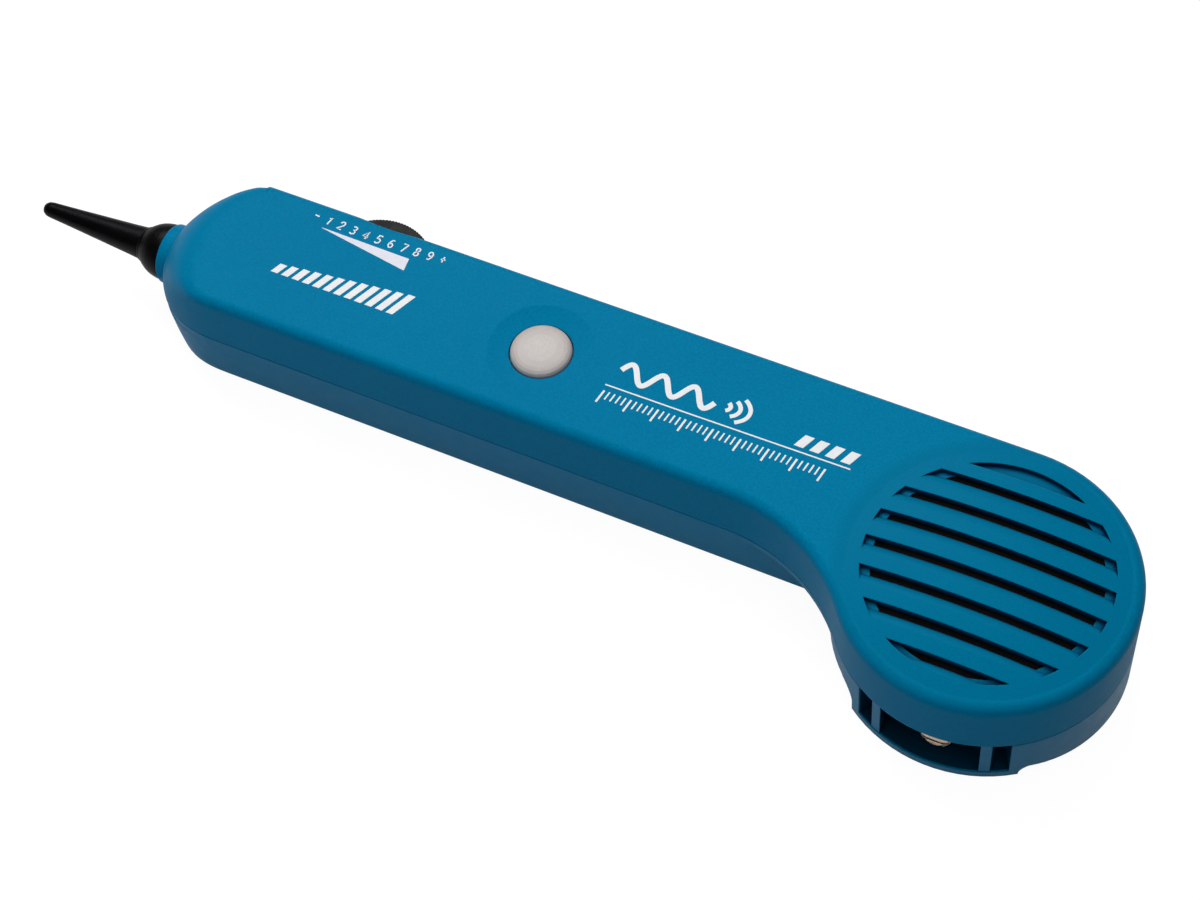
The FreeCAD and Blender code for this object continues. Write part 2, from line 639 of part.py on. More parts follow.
# ---------------------------------------------------------------- push button
# radius, z
CAP_PROFILE = [
    (0.0, 26.75), (1.6, 26.71), (3.2, 26.58), (4.6, 26.36), (5.3, 26.18), (5.85, 25.86),
    (6.12, 25.4), (BUTTON_R, 24.9), (BUTTON_R, 22.5), (7.3, 22.5), (7.3, 21.4), (5.2, 21.4),
    (5.2, 24.6), (2.0, 24.6), (2.0, 20.1), (0.0, 20.1)]
PLUNGER_PROFILE = [(0, 13.8), (1.6, 13.8), (1.6, 19.6), (1.25, 20.0), (0, 20.0)]
SWITCH_HALF = 4.25
SPRING_R, SPRING_WIRE_R, SPRING_TURNS = 3.5, 0.28, 5.0
SPRING_Z0, SPRING_Z1 = 17.35, 24.2


def button_spring():
    height = SPRING_Z1 - SPRING_Z0
    helix = Part.makeHelix(height / SPRING_TURNS, height, SPRING_R)
    helix.translate(Vector(BUTTON_X, MID_Y, SPRING_Z0))
    ring = Part.Wire(Part.makeCircle(SPRING_WIRE_R, Vector(BUTTON_X + SPRING_R, MID_Y, SPRING_Z0),
                                     Vector(0, 1, 0.22)))
    return Part.Wire(helix.Edges).makePipeShell([ring], True, True)


save("button_cap", revolve_z(CAP_PROFILE, BUTTON_X, MID_Y))
switch = mid_box(BUTTON_X - SWITCH_HALF, BUTTON_X + SWITCH_HALF, SWITCH_HALF, BODY_Z, 17.0)
switch = switch.makeFillet(0.5, edges_along(switch, "Z"))
save("switch_body", switch.cut(cyl(1.66, 12.4, 18, BUTTON_X, MID_Y)))
save("switch_plunger", revolve_z(PLUNGER_PROFILE, BUTTON_X, MID_Y))
save("button_spring", button_spring())

# ---------------------------------------------------------------- thumbwheel and potentiometer
# share of the tooth pitch, depth below the wheel's radius
TOOTH = [(0.0, 0.36), (0.32, 0.03), (0.5, 0.0), (0.68, 0.03)]


def thumbwheel():
    pitch = 2 * math.pi / WHEEL_TEETH
    points = []
    for i in range(WHEEL_TEETH):
        for share, depth in TOOTH:
            angle = pitch * (i + share)
            points.append(Vector(WHEEL_X + (WHEEL_R - depth) * math.cos(angle),
                                 WHEEL_Y + (WHEEL_R - depth) * math.sin(angle), WHEEL_Z0))
    wheel = poly_face(points).extrude(Vector(0, 0, WHEEL_Z1 - WHEEL_Z0))
    # envelope that bevels the teeth at both faces
    face_r, rim_r = WHEEL_R - 0.45, WHEEL_R + 0.1
    wheel = wheel.common(revolve_z([
        (0, WHEEL_Z0), (face_r, WHEEL_Z0), (rim_r, WHEEL_Z0 + 0.5), (rim_r, WHEEL_Z1 - 0.5),
        (face_r, WHEEL_Z1), (0, WHEEL_Z1)], WHEEL_X, WHEEL_Y))
    return wheel.cut(cyl(2.02, 15, 21, WHEEL_X, WHEEL_Y))


def pot_body():
    far_y = 25.9
    pot = box(WHEEL_X - 5.6, WHEEL_X + 5.6, 15.6, far_y, BODY_Z, 15.6)
    collar = cyl(4.0, 15.0, 16.0, WHEEL_X, WHEEL_Y)
    pot = pot.fuse(collar.common(box(-160, -120, 10, far_y, 15, 16.0)))
    return pot.cut(cyl(2.06, 12.0, 17, WHEEL_X, WHEEL_Y)).removeSplitter()


def thumbwheel_screw():
    head_z = WHEEL_Z1 + 0.02
    screw = revolve_z([(0, 14.0), (0.8, 14.0), (0.8, head_z), (1.95, head_z),
                       (1.95, WHEEL_Z1 + 0.7), (1.4, WHEEL_Z1 + 1.2), (0, WHEEL_Z1 + 1.25)],
                      WHEEL_X, WHEEL_Y)
    return cut_cross(screw, WHEEL_X, WHEEL_Y, 1.25, 0.25, WHEEL_Z1 + 0.6, WHEEL_Z1 + 2)


save("thumbwheel", thumbwheel())
save("pot_body", single(pot_body()))
rotor_top = WHEEL_Z1 - 0.1
save("pot_rotor", revolve_z([(0.85, 12.2), (2.0, 12.2), (2.0, rotor_top), (0.85, rotor_top)],
                            WHEEL_X, WHEEL_Y))
save("thumbwheel_screw", thumbwheel_screw())


# ---------------------------------------------------------------- circuit board and its parts
def circuit_board():
    board = box(BOARD_X0, BOARD_X1, BOARD_Y0, BOARD_Y1, BOARD_Z0, BOARD_Z1)
    for x, y in BOARD_SCREWS:
        board = board.cut(cyl(1.2, 9, 12, x, y))
    corners = [edge for edge in edges_along(board, "Z")
               if min(abs(edge.Vertexes[0].X - BOARD_X0),
                      abs(edge.Vertexes[0].X - BOARD_X1)) < 1e-3]
    return board.makeChamfer(1.5, corners)


def amplifier_chip():
    """Eight-pin chip with an index notch at its -X end."""
    x0, mid_y, half, top_z = -121.5, 7.7, 3.1, BOARD_Z1 + 3.9
    chip = box(x0, -111.5, mid_y - half, mid_y + half, BOARD_Z1 + 0.5, top_z)
    chip = chip.makeChamfer(0.5, edges_on(chip, "Z", top_z))
    chip = chip.cut(cyl(0.8, BOARD_Z1 + 3.4, BOARD_Z1 + 5, x0, mid_y))
    pins = []
    for i in range(4):
        x = -120.3 + 2.54 * i
        for side in (-1, 1):
            # shoulder, then leg: start from the side wall, lower end
            for start, foot_z in ((-0.2, BOARD_Z1 + 1.9), (0.45, LEG_Z)):
                y0, y1 = sorted(mid_y + side * (half + out) for out in (start, 0.75))
                pins.append(box(x - 0.35, x + 0.35, y0, y1, foot_z, BOARD_Z1 + 2.2))
    return fuse_all([chip] + pins)


def input_transistor():
    """Round body with a flat on its far side, on three legs."""
    mid_x, mid_y = -150.5, 8.0
    body = cyl(2.4, BOARD_Z1 + 1.8, BOARD_Z1 + 6.6, mid_x, mid_y)
    body = body.cut(box(-154, -147, 9.3, 12, 10, 20))
    legs = []
    for i in (-1, 0, 1):
        x = mid_x + 1.27 * i
        legs.append(box(x - 0.22, x + 0.22, mid_y - 0.2, mid_y + 0.2, LEG_Z, BOARD_Z1 + 2.0))
    return fuse_all([body] + legs)


def electrolytic(x, y, radius, height):
    """Can with a crimp groove near its foot and a sunk top."""
    z = BODY_Z
    top_z = z + height
    return revolve_z([(0, z), (radius - 0.1, z), (radius, z + 0.4), (radius, z + 1.0),
                      (radius - 0.18, z + 1.3), (radius, z + 1.6), (radius, top_z - 0.4),
                      (radius - 0.4, top_z), (radius - 0.9, top_z - 0.15),
                      (0, top_z - 0.15)], x, y)


def ceramic(x, y):
    z = LEG_Z
    disc = Part.makeSphere(1.9, Vector(x, y, z + 3.2))
    disc = disc.common(box(x - 3, x + 3, y - 0.75, y + 0.75, z, z + 7))
    legs = [box(x + x0, x + x0 + 0.4, y - 0.2, y + 0.2, z, z + 2.4) for x0 in (-1.5, 1.1)]
    return fuse_all([disc] + legs)


# x from the middle, radius
RESISTOR_PROFILE = [
    (-3.1, 0.0), (-3.1, 0.8), (-2.8, 1.15), (-2.2, 1.15), (-1.9, 0.92), (1.9, 0.92),
    (2.2, 1.15), (2.8, 1.15), (3.1, 0.8), (3.1, 0.0)]


def resistor(x, y, turn):
    """Resistor along X, then turned by some degrees about its middle."""
    z, wire_r, leg_out = BOARD_Z1 + 1.4, 0.28, 4.7
    pieces = [revolve_x([(x + dx, radius) for dx, radius in RESISTOR_PROFILE], y, z)]
    for side in (-1, 1):
        x0, x1 = sorted((x + side * 3.0, x + side * leg_out))
        pieces.append(cyl_x(wire_r, x0, x1, y, z))
        pieces.append(cyl(wire_r, LEG_Z, z + wire_r, x + side * leg_out, y))
    shape = fuse_all(pieces)
    if turn:
        shape.rotate(Vector(x, y, 0), Z_AXIS, turn)
    return shape


# x, y, radius, height
ELECTROLYTICS = [(-120.5, 19.5, 3.15, 7.2), (-112.8, 19.5, 2.5, 7.2),
                 (-106.2, 18.4, 2.0, 5.6), (-131.0, 5.0, 2.5, 7.2)]
# x, y
CERAMICS = [(-144.0, 5.0), (-138.0, 5.0), (-126.0, 12.6)]
# x, y, turn
RESISTORS = [(-142.0, 10.2, 0), (-131.0, 10.2, 0), (-116.5, 1.8, 0),
             (-145.0, 1.6, 0), (-116.0, 13.4, 0), (-105.0, 9.0, 90)]

save("circuit_board", circuit_board())
save("board_screws", Part.makeCompound([
    screw_down(x, y, head_z=BOARD_Z1 + 0.02, head_r=1.9, head_h=1.3, shank_r=1.0, end_z=5.0)
    for x, y in BOARD_SCREWS]))
save("amplifier_chip", single(amplifier_chip()))
save("input_transistor", single(input_transistor()))
save("electrolytic_capacitors", Part.makeCompound([electrolytic(*row) for row in ELECTROLYTICS]))
save("ceramic_capacitors", Part.makeCompound([ceramic(*row) for row in CERAMICS]))
save("resistors", Part.makeCompound([resistor(*row) for row in RESISTORS]))


# ---------------------------------------------------------------- battery and its leads
def battery():
    block = mid_box(BATTERY_X0, BATTERY_X1, BATTERY_HALF, BATTERY_Z0, BATTERY_Z1)
    block = block.makeFillet(2.2, edges_along(block, "X"))
    return block.makeFillet(0.5, edges_on(block, "X", BATTERY_X0, BATTERY_X1))


def battery_terminals():
    """Round stud on the near side, hollow hexagonal socket on the far side."""
    x0, offset = BATTERY_X0 - 2.1, 6.35
    stud = cyl_x(2.9, x0, BATTERY_X0 - 0.02, MID_Y - offset, BATTERY_Z)
    socket = hexagon(7.4, Vector(x0, MID_Y + offset, BATTERY_Z), Y_AXIS)
    socket = socket.extrude(Vector(2.08, 0, 0))
    socket = socket.cut(cyl_x(3.05, BATTERY_X0 - 3, BATTERY_X0 - 0.6, MID_Y + offset, BATTERY_Z))
    return Part.makeCompound([stud, socket])


save("battery", battery())
save("battery_terminals", battery_terminals())
snap = mid_box(-83.2, BATTERY_X0 - 2.15, 11.8, BATTERY_Z - 5.8, BATTERY_Z + 5.8)
save("battery_snap", snap.makeFillet(2.0, edges_along(snap, "X")))
save("battery_pad", mid_box(-72.0, -40.0, 9.0, 21.0, 23.95))

# Lead paths: x, y from the middle of the handle, z.
RED_PATH = [
    (-83.5, 3.2, BATTERY_Z + 1), (-85.5, 3.2, BATTERY_Z + 1.1), (-88.5, 2.6, 14.0),
    (-91.0, 1.2, 16.5), (-92.2, -2.0, 18.5), (-94.5, -5.8, 17.0), (-96.2, -7.6, 14.5),
    (-96.6, -8.2, WIRE_Z)]
BLACK_PATH = [
    (-83.5, -3.2, BATTERY_Z + 1), (-85.5, -3.3, BATTERY_Z + 1.1), (-88.0, -4.6, 13.5),
    (-90.8, -6.4, 14.6), (-93.2, -8.6, 15.2), (-95.2, -10.3, 13.6), (-95.8, -10.8, WIRE_Z)]
ANTENNA_PATH = [
    (-177.8, 0, TIP_Z + 6.1), (-176.5, 0.5, 19.6), (-172.0, 4.8, 20.2), (-165.5, 5.2, 18.0),
    (-160.5, 2.6, 15.5), (-158.2, 1.0, 13.4), (-157.8, 0.6, WIRE_Z)]

for name, path, radius in (("battery_lead_red", RED_PATH, 0.65),
                           ("battery_lead_black", BLACK_PATH, 0.65),
                           ("antenna_lead", ANTENNA_PATH, 0.6)):
    save(name, lead([(x, MID_Y + y, z) for x, y, z in path], radius))

# ---------------------------------------------------------------- loudspeaker
# radius, z about the head axis
FRAME_PROFILE = [(5.0, 18.1), (10.2, 18.1), (19.9, 22.0), (22.4, 22.0), (22.4, 22.8),
                 (19.6, 22.8), (9.9, 18.8), (5.0, 18.8)]
SPEAKER_PROFILES = {
    "speaker_surround": [
        (16.9, 22.86), (17.3, 22.88), (17.7, 23.25), (18.3, 23.52), (18.9, 23.52),
        (19.5, 23.25), (19.9, 22.86), (20.9, 22.86), (20.9, 22.98), (20.0, 22.98),
        (19.6, 23.4), (18.95, 23.68), (18.25, 23.68), (17.6, 23.4), (17.2, 23.02),
        (16.9, 23.0)],
    "speaker_cone": [(4.06, 20.7), (4.4, 20.7), (16.88, 22.55), (16.88, 22.85), (4.06, 21.0)],
    "speaker_dust_cap": [
        (0, 22.35), (1.6, 22.2), (3.0, 21.8), (4.0, 21.3), (4.5, 21.1), (4.3, 21.07),
        (3.85, 21.12), (2.9, 21.62), (1.55, 22.03), (0, 22.18)],
    "voice_coil": [
        (3.9, 16.2), (4.03, 16.2), (4.03, 16.5), (4.32, 16.5), (4.32, 18.3), (4.03, 18.3),
        (4.03, 20.95), (3.9, 20.95)],
    "speaker_yoke": [
        (0, 11.8), (9.2, 11.8), (9.2, 13.0), (3.6, 13.0), (3.6, 18.1), (1.2, 18.1), (0, 18.1)],
}
# x, y, z
SPEAKER_PATHS = [
    [(-18.0, 2.0, 15.95), (-19.5, 4.5, 15.6), (-23.0, 9.5, 16.4), (-28.0, 15.5, 20.5),
     (-33.0, 21.0, 22.4), (-38.0, 24.2, 22.5), (-55.0, 24.6, 22.5), (-75.0, 24.4, 22.5),
     (-83.5, 20.6, 21.8), (-89.5, 17.6, 18.8), (-94.5, 17.9, 15.0), (-96.2, 18.6, WIRE_Z)],
    [(-18.0, -2.0, 15.95), (-20.0, 1.0, 15.2), (-24.0, 7.0, 16.2), (-29.0, 12.5, 20.0),
     (-33.5, 18.5, 22.45), (-38.5, 22.75, 22.45), (-55.0, 23.1, 22.45), (-75.0, 22.9, 22.45),
     (-83.0, 18.9, 21.6), (-89.0, 15.6, 18.4), (-91.6, 18.5, 14.5), (-94.4, 20.6, WIRE_Z)]]


def speaker_cloth():
    """Thin cap just under the grille plate."""
    outer = Part.makeSphere(CROWN_SPHERE_R - PLATE_T - 0.04, CROWN_CENTRE)
    inner = Part.makeSphere(CROWN_SPHERE_R - PLATE_T - 0.50, CROWN_CENTRE)
    return outer.common(cyl(22.6, 24.2, 30)).cut(inner)


def speaker_frame():
    """Basket with six windows."""
    frame = revolve_z(FRAME_PROFILE)
    for i in range(6):
        window = box(11.5, 18.0, -2.6, 2.6, 17, 23)
        window.rotate(ORIGIN, Z_AXIS, 60 * i + 30)
        frame = frame.cut(window)
    return frame


def speaker_tag_board():
    board = box(-19.5, -13.5, -3.2, 3.2, 17.2, 17.9)
    tags = [box(-18.6, -17.2, y0, y0 + 1.2, 16.6, 17.9) for y0 in (-2.6, 1.4)]
    return board.fuse(tags + [box(-14.5, -13.5, -1.2, 1.2, 17.2, 19.0)]).removeSplitter()


save("speaker_cloth", single(speaker_cloth()))
save("speaker_gasket", tube(22.4, 21.0, 22.87, 24.72))
save("speaker_frame", speaker_frame())
for name, profile in SPEAKER_PROFILES.items():
    save(name, revolve_z(profile))
save("speaker_top_plate", tube(9.5, 4.6, 16.92, 18.07))
save("speaker_magnet", tube(9.9, 5.4, 13.02, 16.9))
save("speaker_tag_board", single(speaker_tag_board()))
save("speaker_washers", Part.makeCompound([
    tube(2.15, 0.95, 21.55, 21.97, x, y) for x, y in SPEAKER_SCREWS]))
save("speaker_screws", Part.makeCompound([
    screw_up(x, y, head_z=20.2, head_r=1.6, head_h=1.32, shank_r=0.8, end_z=24.4)
    for x, y in SPEAKER_SCREWS]))
save("speaker_leads", Part.makeCompound([lead(path) for path in SPEAKER_PATHS]))

# ---------------------------------------------------------------- external test terminal
# radius, distance from the inner end
TERMINAL_PROFILE = [(0, 0), (1.25, 0), (1.25, 6.6), (3.0, 6.6), (3.0, 7.5), (2.55, 8.15),
                    (1.6, 8.45), (0, 8.5)]
# x, y, z
TERMINAL_PATH = [
    (TERMINAL_X + 2.1, -19.0, 11.2), (0.4, -17.2, 10.5), (-5.5, -14.8, 10.6),
    (-14.0, -12.4, 13.4), (-23.0, -9.0, 16.6), (-30.5, -4.2, 19.6), (-36.0, -1.0, 21.8),
    (-42.0, 0.6, 22.5), (-55.0, 0.8, 22.5), (-75.0, 1.0, 22.5), (-83.0, 4.2, 21.5),
    (-90.5, 6.0, 19.5), (-97.5, 4.6, 15.5), (-99.6, 4.2, WIRE_Z)]


def terminal_screw():
    """Slotted screw with its head towards -Y."""
    screw = revolve_z(TERMINAL_PROFILE).cut(box(-3.5, 3.5, -0.35, 0.35, 7.6, 9))
    screw.rotate(ORIGIN, X_AXIS, 90)
    screw.translate(Vector(TERMINAL_X, -18.2, TERMINAL_Z))
    return screw


def terminal_disc(radius, y0, y1):
    return cyl_y(radius, y0, y1, TERMINAL_X, TERMINAL_Z)


save("terminal_screw", terminal_screw())
save("terminal_washer", terminal_disc(3.25, -24.76, -24.34).cut(terminal_disc(1.35, -27, -20)))
lug = terminal_disc(2.8, -20.17, -19.72)
lug = lug.fuse(box(TERMINAL_X + 1.5, TERMINAL_X + 2.7, -20.17, -19.72, TERMINAL_Z, 11.6))
save("terminal_lug", single(lug.cut(terminal_disc(1.35, -22, -18)).removeSplitter()))
nut = hexagon(5.0, Vector(TERMINAL_X, -19.7, TERMINAL_Z), X_AXIS).extrude(Vector(0, 1.4, 0))
save("terminal_nut", nut.cut(terminal_disc(1.32, -22, -17)))
save("terminal_lead", lead(TERMINAL_PATH))
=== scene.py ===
"""Looks of a handheld probe with a round speaker head.

The vertical axis through the head is x = y = 0, the body reaches out along -X, the top face
looks up +Z and the case rests on the floor at z = 0. Meshes are worked out in millimetres and
scaled by MM; shaders, lights and the camera work in metres. Colours are linear.
"""
import math
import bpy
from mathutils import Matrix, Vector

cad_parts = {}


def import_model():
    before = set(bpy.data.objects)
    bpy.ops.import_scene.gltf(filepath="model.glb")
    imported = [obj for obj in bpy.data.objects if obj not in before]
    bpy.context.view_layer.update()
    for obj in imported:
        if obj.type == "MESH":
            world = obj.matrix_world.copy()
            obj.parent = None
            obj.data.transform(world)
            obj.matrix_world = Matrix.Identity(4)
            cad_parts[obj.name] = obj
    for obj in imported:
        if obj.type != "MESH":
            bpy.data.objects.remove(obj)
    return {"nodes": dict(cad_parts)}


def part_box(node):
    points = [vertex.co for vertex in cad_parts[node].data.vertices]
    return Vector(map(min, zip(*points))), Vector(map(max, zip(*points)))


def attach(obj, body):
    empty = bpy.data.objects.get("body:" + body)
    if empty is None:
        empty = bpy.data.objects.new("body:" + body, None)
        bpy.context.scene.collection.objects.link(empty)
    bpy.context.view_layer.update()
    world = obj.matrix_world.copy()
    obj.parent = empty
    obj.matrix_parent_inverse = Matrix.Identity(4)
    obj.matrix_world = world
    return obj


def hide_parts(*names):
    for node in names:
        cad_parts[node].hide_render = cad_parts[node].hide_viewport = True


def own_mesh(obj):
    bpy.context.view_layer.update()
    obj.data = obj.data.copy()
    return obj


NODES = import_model()["nodes"]

import bmesh
import bpy
import numpy as np
from mathutils import Matrix, Vector

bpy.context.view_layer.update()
MM = 0.001
SCENE = bpy.context.scene


def box_mm(node):
    """Low and high corners of a CAD piece, in millimetres."""
    low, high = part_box(node)
    return [v / MM for v in low], [v / MM for v in high]


def add_object(name, data):
    obj = bpy.data.objects.new(name, data)
    SCENE.collection.objects.link(obj)
    return obj


# ================================================================= node helpers
FALL = (1.0, 0.0)  # output of a ramp that runs downwards


class Nodes:
    """A node tree, emptied and ready to fill."""

    def __init__(self, tree):
        self.tree = tree
        tree.nodes.clear()

    def put(self, socket, value):
        """Sets an input from another socket, a number, a vector or a colour."""
        if isinstance(value, bpy.types.NodeSocket):
            self.tree.links.new(value, socket)
        elif isinstance(value, tuple) and socket.type == "RGBA" and len(value) == 3:
            socket.default_value = (*value, 1.0)
        else:
            socket.default_value = value

    def node(self, kind, inputs=None, **attributes):
        node = self.tree.nodes.new(kind)
        for name, value in attributes.items():
            setattr(node, name, value)
        for key, value in (inputs or {}).items():
            self.put(node.inputs[key], value)
        return node


class Material(Nodes):
    """A principled material with a stack of bumps; edge is the radius of softened edges."""

    def __init__(self, name, edge=None):
        self.material = bpy.data.materials.new(name)
        self.material.use_nodes = True
        super().__init__(self.material.node_tree)
        self.bsdf = self.node("ShaderNodeBsdfPrincipled")
        self.output = self.node("ShaderNodeOutputMaterial", {"Surface": self.bsdf.outputs["BSDF"]})
        self.coord = self.node("ShaderNodeTexCoord").outputs["Object"]
        self.normal = None
        if edge is not None:
            bevel = self.node("ShaderNodeBevel", {"Radius": edge}, samples=4)
            self.edge_normal = self.normal = bevel.outputs["Normal"]

    # ---- arithmetic
    def math(self, operation, *values, clamp=False):
        inputs = dict(enumerate(values))
        return self.node("ShaderNodeMath", inputs, operation=operation, use_clamp=clamp).outputs[0]

    def times(self, a, b):
        return self.math("MULTIPLY", a, b)

    def plus(self, a, b, clamp=False):
        return self.math("ADD", a, b, clamp=clamp)

    def minus(self, a, b, clamp=False):
        return self.math("SUBTRACT", a, b, clamp=clamp)

    def ramp(self, value, over=(0.3, 0.7), to=(0.0, 1.0), smooth=True):
        """Maps the span `over` of a value to the span `to`, clamped."""
        return self.node("ShaderNodeMapRange", dict(enumerate((value, *over, *to))),
                         interpolation_type="SMOOTHSTEP" if smooth else "LINEAR").outputs[0]

    # ---- textures and places
    def mapped(self, scale=(1, 1, 1)):
        return self.node("ShaderNodeMapping", {"Vector": self.coord, "Scale": scale}).outputs[0]

    def noise(self, scale, detail=3.0, rough=0.6, stretch=(1, 1, 1), distort=0.0):
        return self.node("ShaderNodeTexNoise", {
            "Vector": self.mapped(stretch), "Scale": scale, "Detail": detail,
            "Roughness": rough, "Distortion": distort}).outputs["Fac"]

    def voronoi(self, scale):
        inputs = {"Vector": self.mapped(), "Scale": scale}
        return self.node("ShaderNodeTexVoronoi", inputs).outputs["Distance"]

    def wave(self, scale, axis, distort=0.0, kind="BANDS"):
        inputs = {"Vector": self.coord, "Scale": scale, "Distortion": distort}
        direction = {f"{kind.lower()}_direction": axis}
        return self.node("ShaderNodeTexWave", inputs, wave_type=kind, **direction).outputs["Fac"]

    def axis(self, letter):
        return self.node("ShaderNodeSeparateXYZ", {0: self.coord}).outputs[letter]

    def radius(self, x=0.0, y=0.0):
        """Distance in metres from the vertical axis at x, y in millimetres."""
        across = self.minus(self.axis("X"), x * MM)
        along = self.minus(self.axis("Y"), y * MM)
        return self.math("SQRT", self.plus(self.times(across, across), self.times(along, along)))

    def edges(self, over=(0.02, 0.25)):
        """1 on edges, 0 on flats, from the softened normal."""
        flat = self.node("ShaderNodeNewGeometry").outputs["Normal"]
        dot = self.node("ShaderNodeVectorMath", {0: self.edge_normal, 1: flat},
                        operation="DOT_PRODUCT")
        return self.ramp(self.minus(1.0, dot.outputs["Value"]), over)

    def crevice(self, distance, over=(0.35, 0.95)):
        """1 in narrow corners, 0 in the open."""
        shadow = self.node("ShaderNodeAmbientOcclusion", {"Distance": distance}, samples=6)
        return self.ramp(shadow.outputs["AO"], over, to=FALL)

    # ---- colour layers
    def mix(self, factor, first, second, mode="MIX"):
        return self.node("ShaderNodeMix", {0: factor, 6: first, 7: second},
                         data_type="RGBA", blend_type=mode).outputs[2]

    def two_tone(self, pattern, low, high, over=(0.3, 0.7)):
        return self.mix(self.ramp(pattern, over), low, high)

    def stain(self, under, pattern, over, to, amount=1.0):
        """Turns a colour into `to` where the pattern rises."""
        return self.mix(self.ramp(pattern, over, (0.0, amount)), under, to)

    def cover(self, under, mask, amount, color):
        return self.mix(self.times(mask, amount), under, color)

    # ---- surface
    def bump(self, height, depth, strength):
        inputs = {"Strength": strength, "Distance": depth, "Height": height}
        if self.normal is not None:
            inputs["Normal"] = self.normal
        self.normal = self.node("ShaderNodeBump", inputs).outputs["Normal"]

    def finish(self, color, rough, metal=0.0, spec=0.5, tint=(1.0, 1.0, 1.0), coat=0.0,
               coat_rough=0.1, sheen=0.0):
        settings = {
            "Base Color": color, "Roughness": rough, "Metallic": metal, "IOR": 1.5,
            "Specular IOR Level": spec, "Specular Tint": tint, "Coat Weight": coat,
            "Coat Roughness": coat_rough, "Sheen Weight": sheen, "Normal": self.normal}
        for name, value in settings.items():
            self.put(self.bsdf.inputs[name], value)
        return self.material


def shade(color, gain):
    return tuple(max(0.0, min(1.0, channel * gain)) for channel in color)


# ================================================================= material families
def plastic(name, base, rough, grain, edge_light, corner_shade, grain_depth=0.00002, speck=0.12,
            sheen=0.0):
    """Moulded plastic: fine grain, slow colour drift, polished edges, painted shade in the
    corners.
    """
    mat = Material(name, edge=0.0006)
    grit = mat.noise(scale=grain, rough=0.62)
    pores = mat.voronoi(scale=grain * 0.55)
    slow = mat.noise(scale=38.0, rough=0.55)
    middle = mat.noise(scale=420.0, detail=2.0, rough=0.5)
    edge = mat.edges()
    color = mat.two_tone(grit, shade(base, 1 - speck), shade(base, 1 + speck), over=(0.36, 0.66))
    drift = mat.mix(0.5, color, shade(base, 1.10))
    color = mat.stain(color, slow, over=(0.3, 0.72), to=drift, amount=0.9)
    wear = mat.ramp(middle, over=(0.35, 0.75), to=(0.15, 0.65))
    color = mat.cover(color, edge, wear, shade(base, edge_light))
    # painted shade: darker colour in the narrow corners, from ambient occlusion
    if corner_shade:
        color = mat.cover(color, mat.crevice(distance=0.0016), corner_shade, shade(base, 0.45))
    gloss = mat.ramp(grit, to=(rough - 0.06, rough + 0.07))
    gloss = mat.plus(gloss, mat.ramp(middle, to=(-0.03, 0.03)))
    gloss = mat.plus(gloss, mat.times(edge, -0.08), clamp=True)
    mat.bump(grit, depth=grain_depth, strength=0.55)
    mat.bump(pores, depth=grain_depth * 0.8, strength=0.35)
    return mat.finish(color, gloss, sheen=sheen)


def metal(name, base, rough, brush_scale, brush=(1, 1, 1), stain=(0.55, 0.5, 0.42),
          stain_amount=0.25):
    """Worn metal: brushing marks, dull patches, brighter rubbed edges."""
    mat = Material(name, edge=0.0003)
    streak = mat.noise(scale=brush_scale, stretch=brush)
    fine = mat.noise(scale=3800.0, detail=2.0, rough=0.5)
    patch = mat.noise(scale=220.0, detail=4.0, distort=0.4)
    edge = mat.edges()
    stained = tuple(b * s * 1.4 for b, s in zip(base, stain))
    color = mat.two_tone(streak, shade(base, 0.86), shade(base, 1.08))
    color = mat.stain(color, patch, over=(0.5, 0.78), to=stained, amount=stain_amount)
    color = mat.cover(color, edge, 0.6, shade(base, 1.25))
    gloss = mat.ramp(streak, over=(0.25, 0.75), to=(rough - 0.08, rough + 0.1))
    gloss = mat.plus(gloss, mat.ramp(patch, over=(0.45, 0.8), to=(0.0, 0.16)))
    gloss = mat.minus(gloss, mat.times(edge, 0.08), clamp=True)
    pit = 0.000012
    mat.bump(streak, depth=pit, strength=0.6)
    mat.bump(fine, depth=pit * 0.6, strength=0.3)
    return mat.finish(color, gloss, metal=1.0)


def board(name, base, light, copper=True):
    """Circuit board: glass weave, with raised tracks in a brick pattern if copper is set."""
    mat = Material(name, edge=0.0002)
    weave = mat.times(*(mat.wave(scale=900.0, axis=axis, distort=0.6) for axis in "XY"))
    slow = mat.noise(scale=60.0, rough=0.5)
    color = mat.mix(weave, base, light)
    color = mat.stain(color, slow, over=(0.3, 0.7), to=shade(base, 0.6), amount=0.35)
    if copper:
        track = mat.node("ShaderNodeTexBrick", {
            "Vector": mat.coord, "Scale": 1.0, "Brick Width": 0.0062, "Row Height": 0.0021,
            "Mortar Size": 0.00028, "Mortar Smooth": 0.15}, offset=0.37).outputs["Fac"]
        color = mat.cover(color, track, 0.75, shade(light, 2.1))
        mat.bump(track, depth=0.00004, strength=0.7)
    mat.bump(weave, depth=0.00001, strength=0.4)
    return mat.finish(color, mat.ramp(slow, to=(0.28, 0.42)), coat=0.25, coat_rough=0.2)


def ink(name, base):
    """Printed ink, worn through in small patches."""
    mat = Material(name)
    wear = mat.noise(scale=900.0, detail=4.0, rough=0.65)
    fine = mat.noise(scale=3600.0)
    color = mat.two_tone(fine, shade(base, 0.95), base)
    color = mat.stain(color, wear, over=(0.68, 0.80), to=(0.25, 0.42, 0.52), amount=0.55)
    mat.bump(fine, depth=0.000012, strength=0.6)
    return mat.finish(color, mat.ramp(wear, to=(0.42, 0.6)), spec=0.4)


